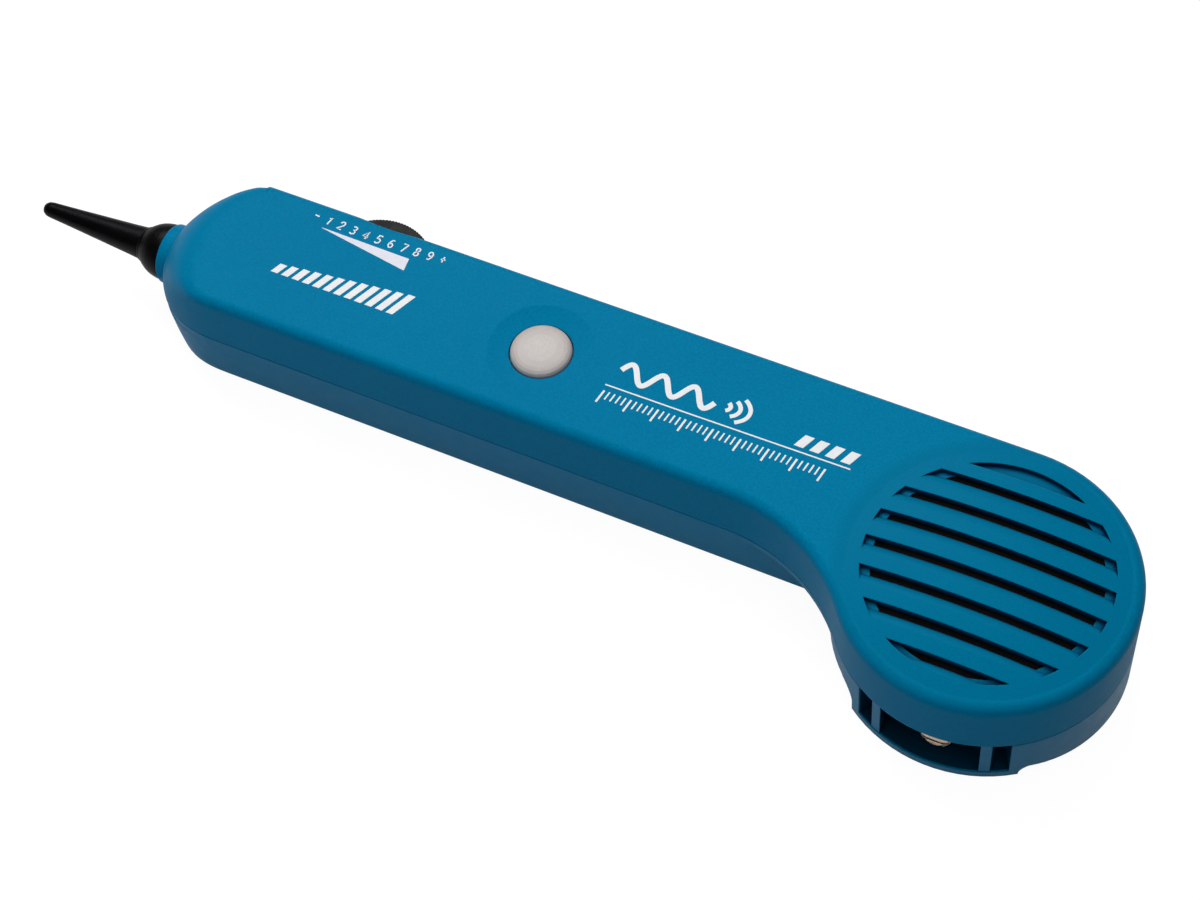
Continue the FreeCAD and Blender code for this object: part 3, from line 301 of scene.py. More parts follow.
def lead_skin(name, base):
    """Insulation of a wire."""
    mat = Material(name)
    grit = mat.noise(scale=2200.0)
    smear = mat.noise(scale=260.0)
    color = mat.two_tone(grit, shade(base, 0.85), shade(base, 1.1))
    color = mat.stain(color, smear, over=(0.5, 0.8), to=shade(base, 0.55), amount=0.35)
    mat.bump(grit, depth=0.00001, strength=0.5)
    return mat.finish(color, mat.ramp(smear, to=(0.34, 0.5)), coat=0.1)


# ================================================================= single materials
def lean_walls(mat):
    """Draft of the moulded walls: normals tip up above the seam and slightly down below it."""
    normal_z = mat.node("ShaderNodeSeparateXYZ", {0: mat.edge_normal}).outputs["Z"]
    wall = mat.ramp(mat.math("ABSOLUTE", normal_z), over=(0.12, 0.45), to=FALL)
    lean = mat.ramp(mat.axis("Z"), over=(0.01215, 0.01245), to=(-0.05, 0.15), smooth=False)
    tip = mat.node("ShaderNodeCombineXYZ", {"Z": mat.times(wall, lean)}).outputs[0]
    leaned = mat.node("ShaderNodeVectorMath", {0: mat.edge_normal, 1: tip}, operation="ADD")
    unit = mat.node("ShaderNodeVectorMath", {0: leaned.outputs[0]}, operation="NORMALIZE")
    mat.normal = unit.outputs[0]


def recess_shade_mask(mat):
    """1 inside the terminal recess, on the -Y side low in the head, where painted shade darkens
    it.
    """
    mask = mat.ramp(mat.radius(), over=(0.0280, 0.02825), to=FALL)
    for value, over, to in (
            (mat.axis("Z"), (0.0128, 0.0136), FALL),
            (mat.axis("Z"), (0.0005, 0.0010), (0.0, 1.0)),
            (mat.axis("Y"), (-0.0200, -0.0193), FALL),
            (mat.math("ABSOLUTE", mat.axis("X")), (0.0147, 0.0150), FALL)):
        mask = mat.times(mask, mat.ramp(value, over, to))
    return mask


def shell_blue():
    blue = (0.0, 0.203, 0.385)
    mat = Material("moulded_blue", edge=0.00035)
    lean_walls(mat)
    grit = mat.noise(scale=2300.0)
    pores = mat.voronoi(scale=1500.0)
    slow = mat.noise(scale=26.0, rough=0.5)
    middle = mat.noise(scale=380.0, detail=2.0, rough=0.5)
    edge = mat.edges(over=(0.03, 0.3))
    # 0 on the head's plate, where the colour grain is weaker and the tone is darker as painted
    # shade, 1 beyond it
    beyond = mat.ramp(mat.radius(), over=(0.0262, 0.0305))
    grain_amount = mat.ramp(beyond, over=(0.0, 1.0), to=(0.45, 1.0))
    color = mat.two_tone(grit, shade(blue, 0.90), shade(blue, 1.10), over=(0.34, 0.68))
    color = mat.mix(grain_amount, blue, color)
    drift = mat.mix(1.0, color, (0.93, 0.96, 0.985), "MULTIPLY")
    color = mat.stain(color, slow, over=(0.3, 0.7), to=drift)
    # painted shade: the head's plate darkened against the handle
    plate_shade = mat.mix(1.0, color, (0.92, 0.87, 0.86), "MULTIPLY")
    color = mat.mix(mat.ramp(beyond, over=(0.0, 1.0), to=FALL), color, plate_shade)
    wear = mat.ramp(middle, over=(0.3, 0.75), to=(0.12, 0.55))
    color = mat.cover(color, edge, wear, (0.03, 0.27, 0.47))
    # painted shade: the narrow corners and crevices of the shell darkened from ambient occlusion
    corner = mat.crevice(distance=0.0022, over=(0.2, 0.85))
    color = mat.cover(color, corner, 0.62, (0.0, 0.028, 0.085))
    # deeper shade in the grille's openings
    grille = mat.times(mat.ramp(mat.radius(), over=(0.0236, 0.0244), to=FALL),
                       mat.ramp(mat.axis("Z"), over=(0.0235, 0.0242)))
    opening = mat.times(mat.crevice(distance=0.0032, over=(0.45, 0.93)), 0.85)
    color = mat.cover(color, grille, opening, (0.0, 0.010, 0.055))
    # painted shade: the terminal recess darkened almost to black
    color = mat.cover(color, recess_shade_mask(mat), 0.82, (0.0, 0.004, 0.016))
    rough = mat.plus(0.42, mat.ramp(grit, to=(-0.05, 0.07)))
    rough = mat.plus(rough, mat.ramp(middle, to=(-0.025, 0.025)))
    rough = mat.minus(rough, mat.times(edge, 0.07))
    rough = mat.minus(rough, mat.ramp(beyond, over=(0.0, 1.0), to=(0.05, 0.0)), clamp=True)
    mat.bump(grit, depth=0.000022, strength=0.5)
    mat.bump(pores, depth=0.000018, strength=0.35)
    return mat.finish(color, rough, spec=0.09, tint=(0.0, 0.55, 0.95))


def button_grey():
    base = (0.56, 0.51, 0.49)
    mat = Material("button_grey", edge=0.0003)
    grit = mat.noise(scale=2600.0)
    slow = mat.noise(scale=240.0, rough=0.55)
    # rubbed by the finger around the middle of the button
    rub = mat.ramp(mat.radius(x=-97.3, y=12.66), over=(0.0015, 0.0058), to=FALL)
    color = mat.two_tone(grit, shade(base, 0.95), shade(base, 1.04), over=(0.35, 0.65))
    color = mat.stain(color, slow, over=(0.35, 0.7), to=shade(base, 0.93), amount=0.5)
    color = mat.cover(color, rub, mat.ramp(slow, to=(0.05, 0.35)), (0.47, 0.42, 0.39))
    color = mat.cover(color, mat.edges(), 0.35, (0.72, 0.68, 0.66))
    # painted shade in the narrow gaps around the button
    color = mat.cover(color, mat.crevice(distance=0.0008), 0.35, (0.16, 0.14, 0.14))
    rough = mat.ramp(grit, to=(0.33, 0.45))
    rough = mat.minus(rough, mat.times(rub, 0.09), clamp=True)
    mat.bump(grit, depth=0.000014, strength=0.5)
    scatter = {"Weight": 0.12, "Radius": (0.6, 0.5, 0.45), "Scale": 0.0012}
    for name, value in scatter.items():
        mat.put(mat.bsdf.inputs["Subsurface " + name], value)
    return mat.finish(color, rough)


def wheel_black():
    base = (0.0030, 0.0031, 0.0031)
    mat = Material("wheel_black", edge=0.0002)
    grit = mat.noise(scale=2800.0, rough=0.65)
    slow = mat.noise(scale=350.0)
    color = mat.two_tone(grit, shade(base, 0.7), shade(base, 1.35), over=(0.35, 0.68))
    color = mat.stain(color, slow, over=(0.45, 0.75), to=(0.010, 0.0098, 0.0094), amount=0.5)
    # painted highlight: lighter colour along the wheel's edges and knurl
    color = mat.cover(color, mat.edges(over=(0.01, 0.2)), 0.6, (0.045, 0.044, 0.042))
    # painted shade between the knurl teeth and in other narrow corners
    color = mat.cover(color, mat.crevice(distance=0.0008), 0.7, (0.001, 0.001, 0.001))
    mat.bump(grit, depth=0.00003, strength=0.6)
    return mat.finish(color, mat.ramp(slow, to=(0.46, 0.62)), spec=0.22)


def tip_black():
    base = (0.0006, 0.0005, 0.0005)
    rough = 0.36
    mat = Material("conductive_black", edge=0.0004)
    flow = mat.noise(scale=300.0, rough=0.55, stretch=(0.25, 1, 1))
    grit = mat.noise(scale=2400.0)
    lathe = mat.noise(scale=1500.0, detail=2.0, rough=0.5, stretch=(1.0, 0.02, 0.02))
    color = mat.two_tone(grit, shade(base, 0.75), shade(base, 1.6), over=(0.35, 0.68))
    color = mat.stain(color, flow, over=(0.45, 0.75), to=shade(base, 2.3), amount=0.5)
    color = mat.cover(color, mat.edges(), 0.5, shade(base, 4.0))
    gloss = mat.ramp(flow, to=(rough - 0.05, rough + 0.08))
    gloss = mat.plus(gloss, mat.ramp(grit, to=(-0.03, 0.04)), clamp=True)
    mat.bump(grit, depth=0.000018, strength=0.5)
    mat.bump(lathe, depth=0.000012, strength=0.35)
    return mat.finish(color, gloss, spec=0.12, tint=(0.86, 0.9, 1.0))


def cloth_black():
    mat = Material("woven_black")
    thread = mat.noise(scale=6000.0, detail=2.0)
    slow = mat.noise(scale=120.0, detail=2.0, rough=0.5)
    color = mat.two_tone(thread, (0.0012, 0.0012, 0.0014), (0.005, 0.005, 0.0058))
    color = mat.stain(color, slow, over=(0.4, 0.7), to=(0.007, 0.007, 0.0068), amount=0.4)
    mat.bump(thread, depth=0.00002, strength=0.8)
    return mat.finish(color, rough=0.92, spec=0.08, sheen=0.02)


def foam_black():
    mat = Material("cell_foam")
    cells = mat.voronoi(scale=2400.0)
    slow = mat.noise(scale=160.0)
    color = mat.two_tone(cells, (0.008, 0.008, 0.009), (0.035, 0.035, 0.037), over=(0.0, 0.55))
    color = mat.stain(color, slow, over=(0.35, 0.75), to=(0.05, 0.05, 0.052), amount=0.5)
    mat.bump(cells, depth=0.0002, strength=0.9)
    mat.bump(mat.voronoi(scale=900.0), depth=0.00025, strength=0.5)
    return mat.finish(color, mat.ramp(slow, to=(0.85, 0.98)), spec=0.15, sheen=0.3)


def cone_film():
    mat = Material("cone_film")
    ridge = mat.wave(scale=260.0, axis="Z", kind="RINGS")
    fibre = mat.noise(scale=2600.0, detail=4.0, rough=0.7, distort=0.6)
    color = mat.two_tone(fibre, (0.028, 0.027, 0.025), (0.075, 0.072, 0.068))
    color = mat.cover(color, ridge, 0.3, (0.1, 0.097, 0.09))
    mat.bump(ridge, depth=0.00012, strength=0.5)
    mat.bump(fibre, depth=0.00003, strength=0.6)
    return mat.finish(color, mat.ramp(fibre, to=(0.5, 0.75)), sheen=0.15)


def copper_coil():
    wire_pitch = 0.00018
    mat = Material("wound_copper")
    turns = mat.wave(scale=1 / wire_pitch / 2 / math.pi * 6.28, axis="Z", distort=0.15)
    patch = mat.noise(scale=400.0)
    color = mat.mix(turns, (0.20, 0.055, 0.02), (0.80, 0.34, 0.14))
    color = mat.stain(color, patch, over=(0.4, 0.7), to=(0.35, 0.10, 0.05), amount=0.4)
    mat.bump(turns, depth=0.00008, strength=0.9)
    return mat.finish(color, mat.ramp(patch, to=(0.22, 0.4)), metal=0.9, coat=0.4)


def chip_black():
    mat = Material("chip_epoxy", edge=0.00015)
    grit = mat.noise(scale=2600.0, rough=0.65)
    color = mat.two_tone(grit, (0.010, 0.010, 0.010), (0.030, 0.030, 0.031))
    color = mat.cover(color, mat.edges(), 0.3, (0.07, 0.07, 0.07))
    mat.bump(grit, depth=0.00002, strength=0.5)
    return mat.finish(color, mat.ramp(grit, to=(0.5, 0.65)))


def can_sleeve():
    """Dark sleeve with a bare metal top."""
    mat = Material("can_sleeve", edge=0.0002)
    top_z = box_mm("electrolytic_capacitors")[1][2]
    sleeve_end = ((top_z - 0.25) * MM, (top_z - 0.2) * MM)
    bare = mat.ramp(mat.axis("Z"), over=sleeve_end, smooth=False)
    grit = mat.noise(scale=1500.0)
    color = mat.two_tone(grit, (0.010, 0.014, 0.035), (0.02, 0.028, 0.06))
    color = mat.mix(bare, color, (0.62, 0.62, 0.63))
    mat.bump(grit, depth=0.00001, strength=0.4)
    return mat.finish(color, mat.ramp(grit, to=(0.22, 0.35)), metal=bare, coat=0.2)


def ceramic_orange():
    mat = Material("ceramic_disc", edge=0.0003)
    grit = mat.noise(scale=1300.0)
    drip = mat.noise(scale=380.0, detail=2.0, rough=0.5)
    color = mat.two_tone(grit, (0.50, 0.17, 0.035), (0.62, 0.25, 0.06))
    color = mat.stain(color, drip, over=(0.5, 0.75), to=(0.36, 0.11, 0.02), amount=0.4)
    mat.bump(drip, depth=0.00008, strength=0.5)
    return mat.finish(color, rough=0.3, coat=0.4)


def resistor_tan():
    mat = Material("resistor_body", edge=0.0002)
    grit = mat.noise(scale=1700.0, detail=2.0)
    bands_x = mat.wave(scale=230.0, axis="X")
    bands_y = mat.wave(scale=140.0, axis="Y")
    color = mat.two_tone(grit, (0.46, 0.33, 0.18), (0.58, 0.43, 0.26))
    color = mat.stain(color, bands_x, over=(0.80, 0.84), to=(0.20, 0.05, 0.02))
    color = mat.stain(color, bands_y, over=(0.93, 0.95), to=(0.42, 0.16, 0.02))
    mat.bump(grit, depth=0.00001, strength=0.4)
    return mat.finish(color, rough=0.34, coat=0.3)


def battery_case():
    """Gold at the low-X end, then black with one grey line across it."""
    mat = Material("battery_wrap", edge=0.0004)
    low, high = box_mm("battery")

    def along(fraction):
        return (low[0] + (high[0] - low[0]) * fraction) * MM

    x = mat.axis("X")
    split, blur = along(0.30), 0.00004
    wrap = mat.ramp(x, over=(split - blur, split + blur), smooth=False)
    line_start = mat.ramp(x, over=(along(0.335), along(0.337)), smooth=False)
    line_end = mat.ramp(x, over=(along(0.36), along(0.362)), smooth=False)
    grit = mat.noise(scale=1800.0)
    scuff = mat.noise(scale=260.0, detail=4.0, rough=0.65, stretch=(1, 0.35, 0.35))
    black = mat.two_tone(grit, (0.012, 0.012, 0.014), (0.028, 0.028, 0.031))
    gold = mat.two_tone(scuff, (0.43, 0.26, 0.12), (0.62, 0.42, 0.22), over=(0.3, 0.75))
    grey = mat.two_tone(scuff, (0.50, 0.50, 0.50), (0.68, 0.68, 0.68), over=(0.3, 0.75))
    color = mat.mix(wrap, gold, black)
    color = mat.mix(mat.minus(line_start, line_end, clamp=True), color, grey)
    color = mat.cover(color, mat.edges(), 0.5, (0.32, 0.31, 0.30))
    color = mat.stain(color, scuff, over=(0.62, 0.8), to=(0.2, 0.19, 0.18), amount=0.4)
    mat.bump(scuff, depth=0.00003, strength=0.4)
    return mat.finish(color, mat.ramp(grit, to=(0.22, 0.38)), coat=0.3, coat_rough=0.15,
                      metal=mat.times(mat.minus(1.0, wrap), 0.85))


# finish of each CAD material slot
FINISH = {
    "shell_blue": shell_blue(),
    "button_grey": button_grey(),
    "wheel_black": wheel_black(),
    "tip_black": tip_black(),
    "cloth_black": cloth_black(),
    "foam_black": foam_black(),
    "plated_steel": metal("plated_steel", base=(0.60, 0.59, 0.57), rough=0.30,
                          brush_scale=700.0, brush=(1, 1, 0.2)),
    "ferrite": plastic("ferrite", base=(0.045, 0.043, 0.042), rough=0.45, grain=1500.0,
                       grain_depth=0.00004, speck=0.3, edge_light=2.4, corner_shade=0.0),
    "cone_film": cone_film(),
    "copper_coil": copper_coil(),
    "board_brown": board("phenolic_brown", base=(0.16, 0.075, 0.03), light=(0.24, 0.12, 0.05),
                         copper=False),
    "screw_steel": metal("screw_steel", base=(0.52, 0.52, 0.53), rough=0.27,
                         brush_scale=900.0, brush=(1, 1, 0.3), stain_amount=0.35),
    "terminal_nickel": metal("terminal_nickel", base=(0.68, 0.55, 0.43), rough=0.20,
                             brush_scale=700.0, stain=(0.75, 0.5, 0.35), stain_amount=0.45),
    "tinned_brass": metal("tinned_brass", base=(0.66, 0.63, 0.55), rough=0.28,
                          brush_scale=600.0, stain=(0.8, 0.62, 0.35), stain_amount=0.4),
    "board_green": board("solder_mask_green", base=(0.012, 0.085, 0.035),
                         light=(0.02, 0.13, 0.055)),
    "chip_black": chip_black(),
    "can_sleeve": can_sleeve(),
    "ceramic_orange": ceramic_orange(),
    "resistor_tan": resistor_tan(),
    "switch_black": plastic("switch_black", base=(0.016, 0.016, 0.017), rough=0.42,
                            grain=3000.0, edge_light=3.0, corner_shade=0.2),
    "switch_white": plastic("switch_white", base=(0.62, 0.60, 0.56), rough=0.38,
                            grain=3000.0, edge_light=1.15, corner_shade=0.3),
    "spring_steel": metal("spring_steel", base=(0.50, 0.49, 0.48), rough=0.24,
                          brush_scale=1500.0),
    "pot_case": metal("pot_case", base=(0.58, 0.55, 0.48), rough=0.33,
                      brush_scale=800.0, brush=(1, 0.2, 1)),
    "battery_case": battery_case(),
    "snap_black": plastic("snap_vinyl", base=(0.015, 0.015, 0.016), rough=0.5,
                          grain=2000.0, edge_light=2.6, corner_shade=0.3, sheen=0.1),
    "lead_red": lead_skin("lead_red", base=(0.42, 0.012, 0.010)),
    "lead_black": lead_skin("lead_black", base=(0.014, 0.014, 0.015)),
    "lead_white": lead_skin("lead_white", base=(0.60, 0.58, 0.55)),
}

for cad_piece in NODES.values():
    for material_slot in cad_piece.material_slots:
        if material_slot.material:
            key = material_slot.material.name.split(".")[0]
            if key in FINISH:
                material_slot.material = FINISH[key]


def case_piece(name, verts, faces, material, smooth=False):
    """Adds a mesh given in millimetres that rides on the case."""
    mesh = bpy.data.meshes.new(name)
    mesh.from_pydata([tuple(c * MM for c in vert) for vert in verts], [], faces)
    mesh.validate()
    work = bmesh.new()
    work.from_mesh(mesh)
    bmesh.ops.remove_doubles(work, verts=work.verts, dist=1e-7)
    bmesh.ops.recalc_face_normals(work, faces=work.faces)
    work.to_mesh(mesh)
    work.free()
    for polygon in mesh.polygons:
        polygon.use_smooth = smooth
    obj = add_object(name, mesh)
    mesh.materials.append(material)
    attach(obj, "case")
    return obj


# ================================================================= printed marks on the top face
TOP = 26.0
MARK_BOTTOM, MARK_TOP = TOP - 0.03, TOP + 0.035
SLANT = 0.42  # sideways run of a slanted mark per unit of height
WHITE = ink("ink_white", (0.94, 0.94, 0.96))
LILAC = ink("ink_lilac", (0.84, 0.84, 0.93))


class Mark:
    """Thin solids printed on the top face, gathered into one mesh; (x, y) in mm."""

    def __init__(self):
        self.verts, self.faces = [], []

    def prism(self, outline):
        """A closed prism over an anticlockwise outline."""
        count, first = len(outline), len(self.verts)
        for z in (MARK_BOTTOM, MARK_TOP):
            self.verts += [(x, y, z) for x, y in outline]
        self.faces.append(list(range(first + count - 1, first - 1, -1)))
        self.faces.append(list(range(first + count, first + 2 * count)))
        for i in range(count):
            a, b = first + i, first + (i + 1) % count
            self.faces.append([a, b, b + count, a + count])

    def slanted_bar(self, x, y, width, height):
        run = height * SLANT
        self.prism([(x, y), (x + width, y), (x + width + run, y + height), (x + run, y + height)])

    def stroke(self, path, width):
        """A line of the given width along a path of points."""
        points = [Vector(point) for point in path]
        first, last = len(self.verts), len(points) - 1
        for i, point in enumerate(points):
            along = (points[min(i + 1, last)] - points[max(i - 1, 0)]).normalized()
            side = Vector((-along.y, along.x)) * (width / 2)
            left, right = point + side, point - side
            self.verts += [(left.x, left.y, MARK_TOP), (right.x, right.y, MARK_TOP),
                           (right.x, right.y, MARK_BOTTOM), (left.x, left.y, MARK_BOTTOM)]
        for i in range(last):
            a = first + 4 * i
            b = a + 4
            for k in range(4):
                turn = (k + 1) % 4
                self.faces.append([a + k, a + turn, b + turn, b + k])
        end = first + 4 * last
        self.faces.append([first + 3, first + 2, first + 1, first])
        self.faces.append([end, end + 1, end + 2, end + 3])

    def build(self, name, material):
        case_piece(name, self.verts, self.faces, material)


def wedge_mark():
    """A long wedge that narrows towards -X."""
    mark = Mark()
    mark.prism([(-151.9, 22.30), (-131.35, 19.2), (-131.65, 22.18), (-151.9, 22.42)])
    mark.build("mark_level_wedge", LILAC)


# strokes of each character as (x, y) points in a cell one unit wide and high
GLYPHS = {
    "1": [[(0.25, 0.75), (0.55, 1.0), (0.55, 0.0)]],
    "2": [[(0.1, 0.78), (0.3, 1.0), (0.62, 1.0), (0.8, 0.78), (0.72, 0.55), (0.1, 0.0),
           (0.85, 0.0)]],
    "3": [[(0.12, 0.9), (0.4, 1.0), (0.75, 0.88), (0.75, 0.64), (0.42, 0.53), (0.8, 0.38),
           (0.8, 0.12), (0.45, 0.0), (0.1, 0.1)]],
    "4": [[(0.68, 0.0), (0.68, 1.0), (0.08, 0.3), (0.92, 0.3)]],
    "5": [[(0.8, 1.0), (0.22, 1.0), (0.17, 0.57), (0.55, 0.6), (0.82, 0.42), (0.78, 0.12),
           (0.45, 0.0), (0.12, 0.08)]],
    "6": [[(0.72, 0.96), (0.4, 0.96), (0.16, 0.62), (0.14, 0.25), (0.42, 0.0), (0.74, 0.08),
           (0.82, 0.34), (0.56, 0.56), (0.2, 0.48)]],
    "7": [[(0.1, 1.0), (0.85, 1.0), (0.36, 0.0)]],
    "8": [[(0.48, 0.54), (0.2, 0.68), (0.22, 0.92), (0.48, 1.0), (0.74, 0.92), (0.76, 0.68),
           (0.48, 0.54), (0.14, 0.34), (0.18, 0.08), (0.48, 0.0), (0.78, 0.08), (0.82, 0.34),
           (0.50, 0.53)]],
    "9": [[(0.24, 0.04), (0.56, 0.04), (0.80, 0.38), (0.82, 0.75), (0.54, 1.0), (0.22, 0.92),
           (0.14, 0.66), (0.40, 0.44), (0.76, 0.52)]],
    "-": [[(0.1, 0.5), (0.8, 0.5)]],
    "+": [[(0.1, 0.5), (0.8, 0.5)], [(0.45, 0.14), (0.45, 0.86)]],
}


def wheel_scale():
    """Characters of the thumbwheel's scale, set along a shallow curve."""
    text = "-123456789+"
    start_x, end_x = -154.3, -125.2
    curve_x, curve_half = -139.4, 14.6  # middle and half length of the curve
    curve_y, curve_rise = 24.15, 0.55
    height, width, line = 1.95, 1.38, 0.31
    italic, end_tilt = 0.12, 0.10
    mark = Mark()
    for i, character in enumerate(text):
        center_x = start_x + (end_x - start_x) * i / (len(text) - 1)
        u = (center_x - curve_x) / curve_half
        center_y = curve_y + curve_rise * u * u
        cos, sin = math.cos(end_tilt * u), math.sin(end_tilt * u)
        for stroke in GLYPHS[character]:
            path = []
            for x, y in stroke:
                y = (y - 0.5) * height
                x = (x - 0.45) * width + y * italic
                path.append((center_x + x * cos - y * sin, center_y + x * sin + y * cos))
            mark.stroke(path, line)
    mark.build("mark_wheel_scale", WHITE)


def level_bars():
    """A row of slanted bars that grow towards the head."""
    start_x, y, count, pitch, width = -156.3, 8.75, 12, 2.40, 1.55
    shortest, growth = 2.4, 3.2
    mark = Mark()
    for i in range(count):
        mark.slanted_bar(start_x + i * pitch, y, width, shortest + growth * i / (count - 1))
    mark.build("mark_level_bars", WHITE)


def wave_mark():
    """Three periods of a wave, then three arcs of growing radius."""
    steps, periods = 72, 3
    start_x, length, wave_y, amplitude, wave_line = -80.6, 19.8, 14.35, 1.95, 1.15
    arc_x, arc_y, arc_squash, arc_line = -59.6, 14.5, 0.62, 0.85
    mark = Mark()
    path = []
    for i in range(steps + 1):
        s = i / steps
        y = wave_y + amplitude * math.sin(2 * math.pi * periods * s)
        path.append((start_x + length * s, y))
    mark.stroke(path, wave_line)
    angles = [math.radians(-48 + 96 * i / 16) for i in range(17)]
    for radius in (2.0, 4.0, 6.0):
        mark.stroke([(arc_x + radius * math.cos(angle),
                      arc_y + radius * math.sin(angle) * arc_squash) for angle in angles],
                    arc_line)
    mark.build("mark_wave", WHITE)


def underline():
    mark = Mark()
    mark.stroke([(-82.05, 10.1), (-65.0, 10.22), (-48.0, 10.4), (-31.3, 10.6)], width=0.30)
    mark.build("mark_underline", WHITE)


def tick_row():
    """A fine scale below the line, with a long tick every fifth."""
    start_x, start_y, rise, pitch, intervals = -81.6, 8.75, 0.1, 1.15, 40
    mark = Mark()
    for i in range(intervals + 1):
        length, line = (3.0, 0.42) if i % 5 == 0 else (1.9, 0.32)
        x = start_x + pitch * i
        y = start_y + rise * i / intervals
        mark.stroke([(x, y), (x - length * SLANT * 0.35, y - length)], line)
    mark.build("mark_scale", WHITE)


def slanted_blocks():
    start_x, y, count, pitch, width, height = -43.2, 11.5, 4, 3.15, 1.9, 2.9
    mark = Mark()
    for i in range(count):
        mark.slanted_bar(start_x + i * pitch, y, width, height)
    mark.build("mark_blocks", WHITE)


wedge_mark()
wheel_scale()
level_bars()
wave_mark()
underline()
tick_row()
slanted_blocks()


# ================================================================= cloth behind the grille, woven
CROWN_RADIUS, CROWN_HEIGHT = 26.0, 2.35  # domed plate of the head
CROWN_SPHERE = (CROWN_RADIUS ** 2 + CROWN_HEIGHT ** 2) / (2 * CROWN_HEIGHT)
CROWN_CENTER_Z = TOP + CROWN_HEIGHT - CROWN_SPHERE


def woven_cloth():
    """A square grid cut to a disc and laid on a sphere under the crown."""
    low, high = box_mm("speaker_cloth")
    center_x, center_y = (low[0] + high[0]) / 2, (low[1] + high[1]) / 2
    radius = (high[0] - low[0]) / 2
    sphere = CROWN_SPHERE - 1.34
    thickness, relief = 0.46, 0.08
    pitch = 0.64
    step = pitch / 4
    swing = 0.45  # how far a thread rises and dips at a crossing
    rim = 0.5  # width over which the relief fades out at the edge
    count = int(radius / step) + 1
    index, verts = {}, []
    for i in range(-count, count + 1):
        for j in range(-count, count + 1):
            x, y = i * step, j * step
            distance = math.hypot(x, y)
            if distance > radius:
                continue
            a, b = x / pitch, y / pitch
            over = 1.0 if (math.floor(a) + math.floor(b)) % 2 == 0 else -1.0
            warp = abs(math.sin(math.pi * a)) ** 0.6
            weft = abs(math.sin(math.pi * b)) ** 0.6
            warp *= 1 + over * swing * math.sin(math.pi * (b % 1.0))
            weft *= 1 - over * swing * math.sin(math.pi * (a % 1.0))
            height = max(warp, weft) / (1 + swing)
            fade = min(1.0, (radius - distance) / rim)
            dome = CROWN_CENTER_Z + math.sqrt(sphere * sphere - distance * distance)
            index[i, j] = len(verts)
            verts.append((center_x + x, center_y + y, dome - relief + relief * height * fade))
    faces = []
    for (i, j), corner in index.items():
        others = [index.get(cell) for cell in ((i + 1, j), (i + 1, j + 1), (i, j + 1))]
        if None not in others:
            faces.append([corner, *others])
    cloth = case_piece("speaker_cloth_woven", verts, faces, FINISH["cloth_black"], smooth=True)
    solid = cloth.modifiers.new("thickness", "SOLIDIFY")
    solid.thickness = (thickness - relief) * 0.8 * MM
    solid.offset = -1.0
    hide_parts("speaker_cloth")


woven_cloth()


# ================================================================= foam pads
# slow waves of the surface: axis, frequency per mm
FOAM_WAVES = ((0, 0.9), (1, 1.1), (2, 1.3), (0, 2.1), (1, 2.6))


def foam_pad(name, node, body, seed):
    """A rounded, remeshed box whose surface is pressed in by waves."""
    low, high = box_mm(node)
    center = [(a + b) / 2 for a, b in zip(low, high)]
    half = [(b - a) / 2 for a, b in zip(low, high)]
    work = bmesh.new()
    bmesh.ops.create_cube(work, size=2.0)
    for vert in work.verts:
        vert.co = Vector([vert.co[i] * half[i] for i in range(3)])
    bmesh.ops.bevel(work, geom=list(work.edges), offset=min(half) * 0.62, segments=3,
                    profile=0.6, affect="EDGES")
    block = bpy.data.meshes.new(name)
    work.to_mesh(block)
    work.free()
    pad = add_object(name, block)
    remesh = pad.modifiers.new("cells", "REMESH")
    remesh.mode = "VOXEL"
    remesh.voxel_size = 0.42
    depsgraph = bpy.context.evaluated_depsgraph_get()
    mesh = bpy.data.meshes.new_from_object(pad.evaluated_get(depsgraph))
    pad.modifiers.clear()
    pad.data = mesh
    phase = np.random.RandomState(seed).uniform(0, 6.28, 9)
    for vert in mesh.vertices:
        p = vert.co
        big = sum(math.sin(p[axis] * frequency + phase[k])
                  for k, (axis, frequency) in enumerate(FOAM_WAVES)) / 5
        small = (math.sin(p[0] * 7.1 + phase[5]) * math.sin(p[1] * 6.3 + phase[6])
                 * math.sin(p[2] * 8.2 + phase[7]))
        normal = vert.normal
        vert.co = p - normal * (0.05 + 0.045 * (1 + big) + 0.035 * (1 + small))
    for vert in mesh.vertices:
        vert.co = Vector([(vert.co[i] + center[i]) * MM for i in range(3)])
    for polygon in mesh.polygons:
        polygon.use_smooth = True
    mesh.materials.clear()
    mesh.materials.append(FINISH["foam_black"])
    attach(pad, body)
    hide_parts(node)


foam_pad("battery_pad_foam", "battery_pad", "case", seed=3)
foam_pad("door_pad_foam", "door_pad", "door", seed=5)


# ================================================================= spring under the button
def return_spring():
    """A copy of the CAD spring, riding on the case."""
    source = NODES["button_spring"]
    mesh = source.data.copy()
    mesh.transform(source.matrix_world)
    spring = add_object("button_spring_wire", mesh)
    mesh.materials.clear()
    mesh.materials.append(FINISH["spring_steel"])
    for polygon in mesh.polygons:
        polygon.material_index = 0
    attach(spring, "case")
    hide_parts("button_spring")
    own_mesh(spring)


return_spring()


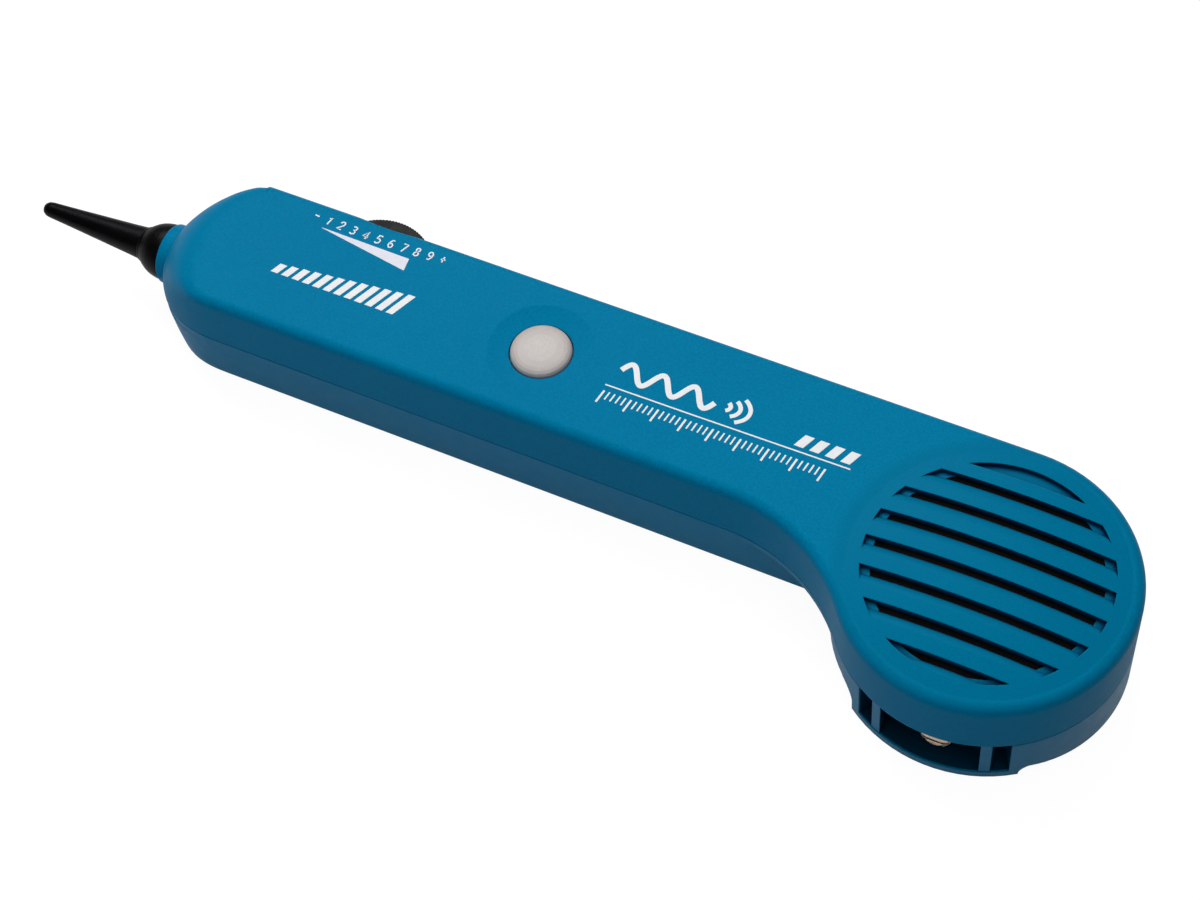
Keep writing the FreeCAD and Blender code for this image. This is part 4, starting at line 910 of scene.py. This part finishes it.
# ================================================================= floor
def floor_material():
    """Nearly white to the camera, half glowing in reflections, greyer to other rays."""
    mat = Material("studio_floor")
    rays = mat.node("ShaderNodeLightPath").outputs
    seen = rays["Is Camera Ray"]
    color = mat.two_tone(mat.noise(scale=60.0, rough=0.5),
                         (0.90, 0.90, 0.905), (0.93, 0.93, 0.935))
    color = mat.mix(seen, (0.42, 0.43, 0.46), color)
    mat.bump(mat.noise(scale=900.0, detail=2.0, rough=0.5), depth=0.00002, strength=0.3)
    mat.finish(color, rough=0.75, spec=0.2)
    glow = mat.node("ShaderNodeEmission", {"Color": (1.0, 1.0, 1.0), "Strength": 1.08})
    mirrored = mat.times(rays["Is Glossy Ray"], 0.50)
    lit = mat.node("ShaderNodeMixShader", {
        "Fac": mat.math("MAXIMUM", mat.times(seen, 0.88), mirrored),
        1: mat.bsdf.outputs["BSDF"], 2: glow.outputs["Emission"]})
    # clear to the camera from below, so the underside can be looked at
    below = mat.node("ShaderNodeNewGeometry").outputs["Backfacing"]
    clear = mat.node("ShaderNodeBsdfTransparent")
    surface = mat.node("ShaderNodeMixShader", {
        "Fac": mat.times(seen, below), 1: lit.outputs["Shader"], 2: clear.outputs["BSDF"]})
    mat.put(mat.output.inputs["Surface"], surface.outputs["Shader"])
    return mat.material


def floor():
    half, drop = 3.0, 0.00006
    material = floor_material()
    mesh = bpy.data.meshes.new("floor")
    corners = [(-half, -half, 0), (half, -half, 0), (half, half, 0), (-half, half, 0)]
    mesh.from_pydata(corners, [], [(0, 1, 2, 3)])
    plane = add_object("floor", mesh)
    plane.location = (0, 0, -drop)
    mesh.materials.append(material)


floor()

# ================================================================= lights
BODY_AIM = (-0.085, 0.012, 0.012)


def area_light(name, place, size, power, aim=BODY_AIM, color=(1, 1, 1)):
    data = bpy.data.lights.new(name, "AREA")
    data.shape = "RECTANGLE"
    data.size, data.size_y = size
    data.energy = power
    data.color = color
    light = add_object(name, data)
    light.location = place
    direction = Vector(aim) - Vector(place)
    light.rotation_euler = direction.to_track_quat("-Z", "Y").to_euler()
    return light


area_light("key", place=(-0.50, 0.55, 0.98), size=(0.85, 0.70), power=8.9,
           color=(1.0, 0.995, 0.985))
area_light("overhead", place=(0.12, 0.05, 1.35), size=(1.3, 1.1), power=5.8)
area_light("front_strip", place=(-0.02, -0.95, 0.52), size=(0.34, 0.12), power=0.5,
           aim=(-0.02, 0.0, 0.02), color=(1.0, 0.97, 0.99))
fill = area_light("front_fill", place=(-0.75, -1.00, 0.22), size=(1.0, 0.5), power=1.7,
                  color=(0.50, 0.84, 1.0))
fill.visible_glossy = False


# ================================================================= world
def studio_world():
    """Dark grey from below, rising to a lighter grey overhead."""
    world = bpy.data.worlds.new("studio")
    SCENE.world = world
    world.use_nodes = True
    sky = Nodes(world.node_tree)
    direction = sky.node("ShaderNodeTexCoord").outputs["Generated"]
    height = sky.node("ShaderNodeSeparateXYZ", {0: direction}).outputs["Z"]
    rise = sky.node("ShaderNodeMapRange", {"Value": height, "From Min": -1.0, "From Max": 1.0})
    ramp = sky.node("ShaderNodeValToRGB", {"Fac": rise.outputs["Result"]})
    stops = ((0.45, (0.05, 0.05, 0.055, 1)), (0.95, (0.18, 0.185, 0.19, 1)))
    for element, (position, color) in zip(ramp.color_ramp.elements, stops):
        element.position = position
        element.color = color
    background = sky.node("ShaderNodeBackground",
                          {"Color": ramp.outputs["Color"], "Strength": 0.8})
    sky.node("ShaderNodeOutputWorld", {"Surface": background.outputs["Background"]})


studio_world()
SCENE.view_settings.view_transform = "Standard"
SCENE.view_settings.look = "None"

# ================================================================= camera
CAMERA_RIGHT = (0.8987588805100823, 0.432182284525413, -0.07383053329523334)
CAMERA_UP = (-0.3289937025216057, 0.7760802105728821, 0.5380173328604537)
CAMERA_BACK = (0.2898199758563733, -0.45925807526873824, 0.839694231190774)
CAMERA_PLACE = (66.58696620752035, -240.05572645967985, 459.312026353515)  # mm
CAMERA_DRAW_IN = 0.92955  # brings the place closer to the origin


def camera():
    data = bpy.data.cameras.new("camera")
    data.sensor_width = 36.0
    data.lens = 75.493
    data.clip_start, data.clip_end = 0.01, 20.0
    view = add_object("camera", data)
    pose = Matrix((CAMERA_RIGHT, CAMERA_UP, CAMERA_BACK)).transposed().to_4x4()
    pose.translation = Vector([c * CAMERA_DRAW_IN for c in CAMERA_PLACE]) * MM
    view.matrix_world = pose
    SCENE.camera = view


camera()
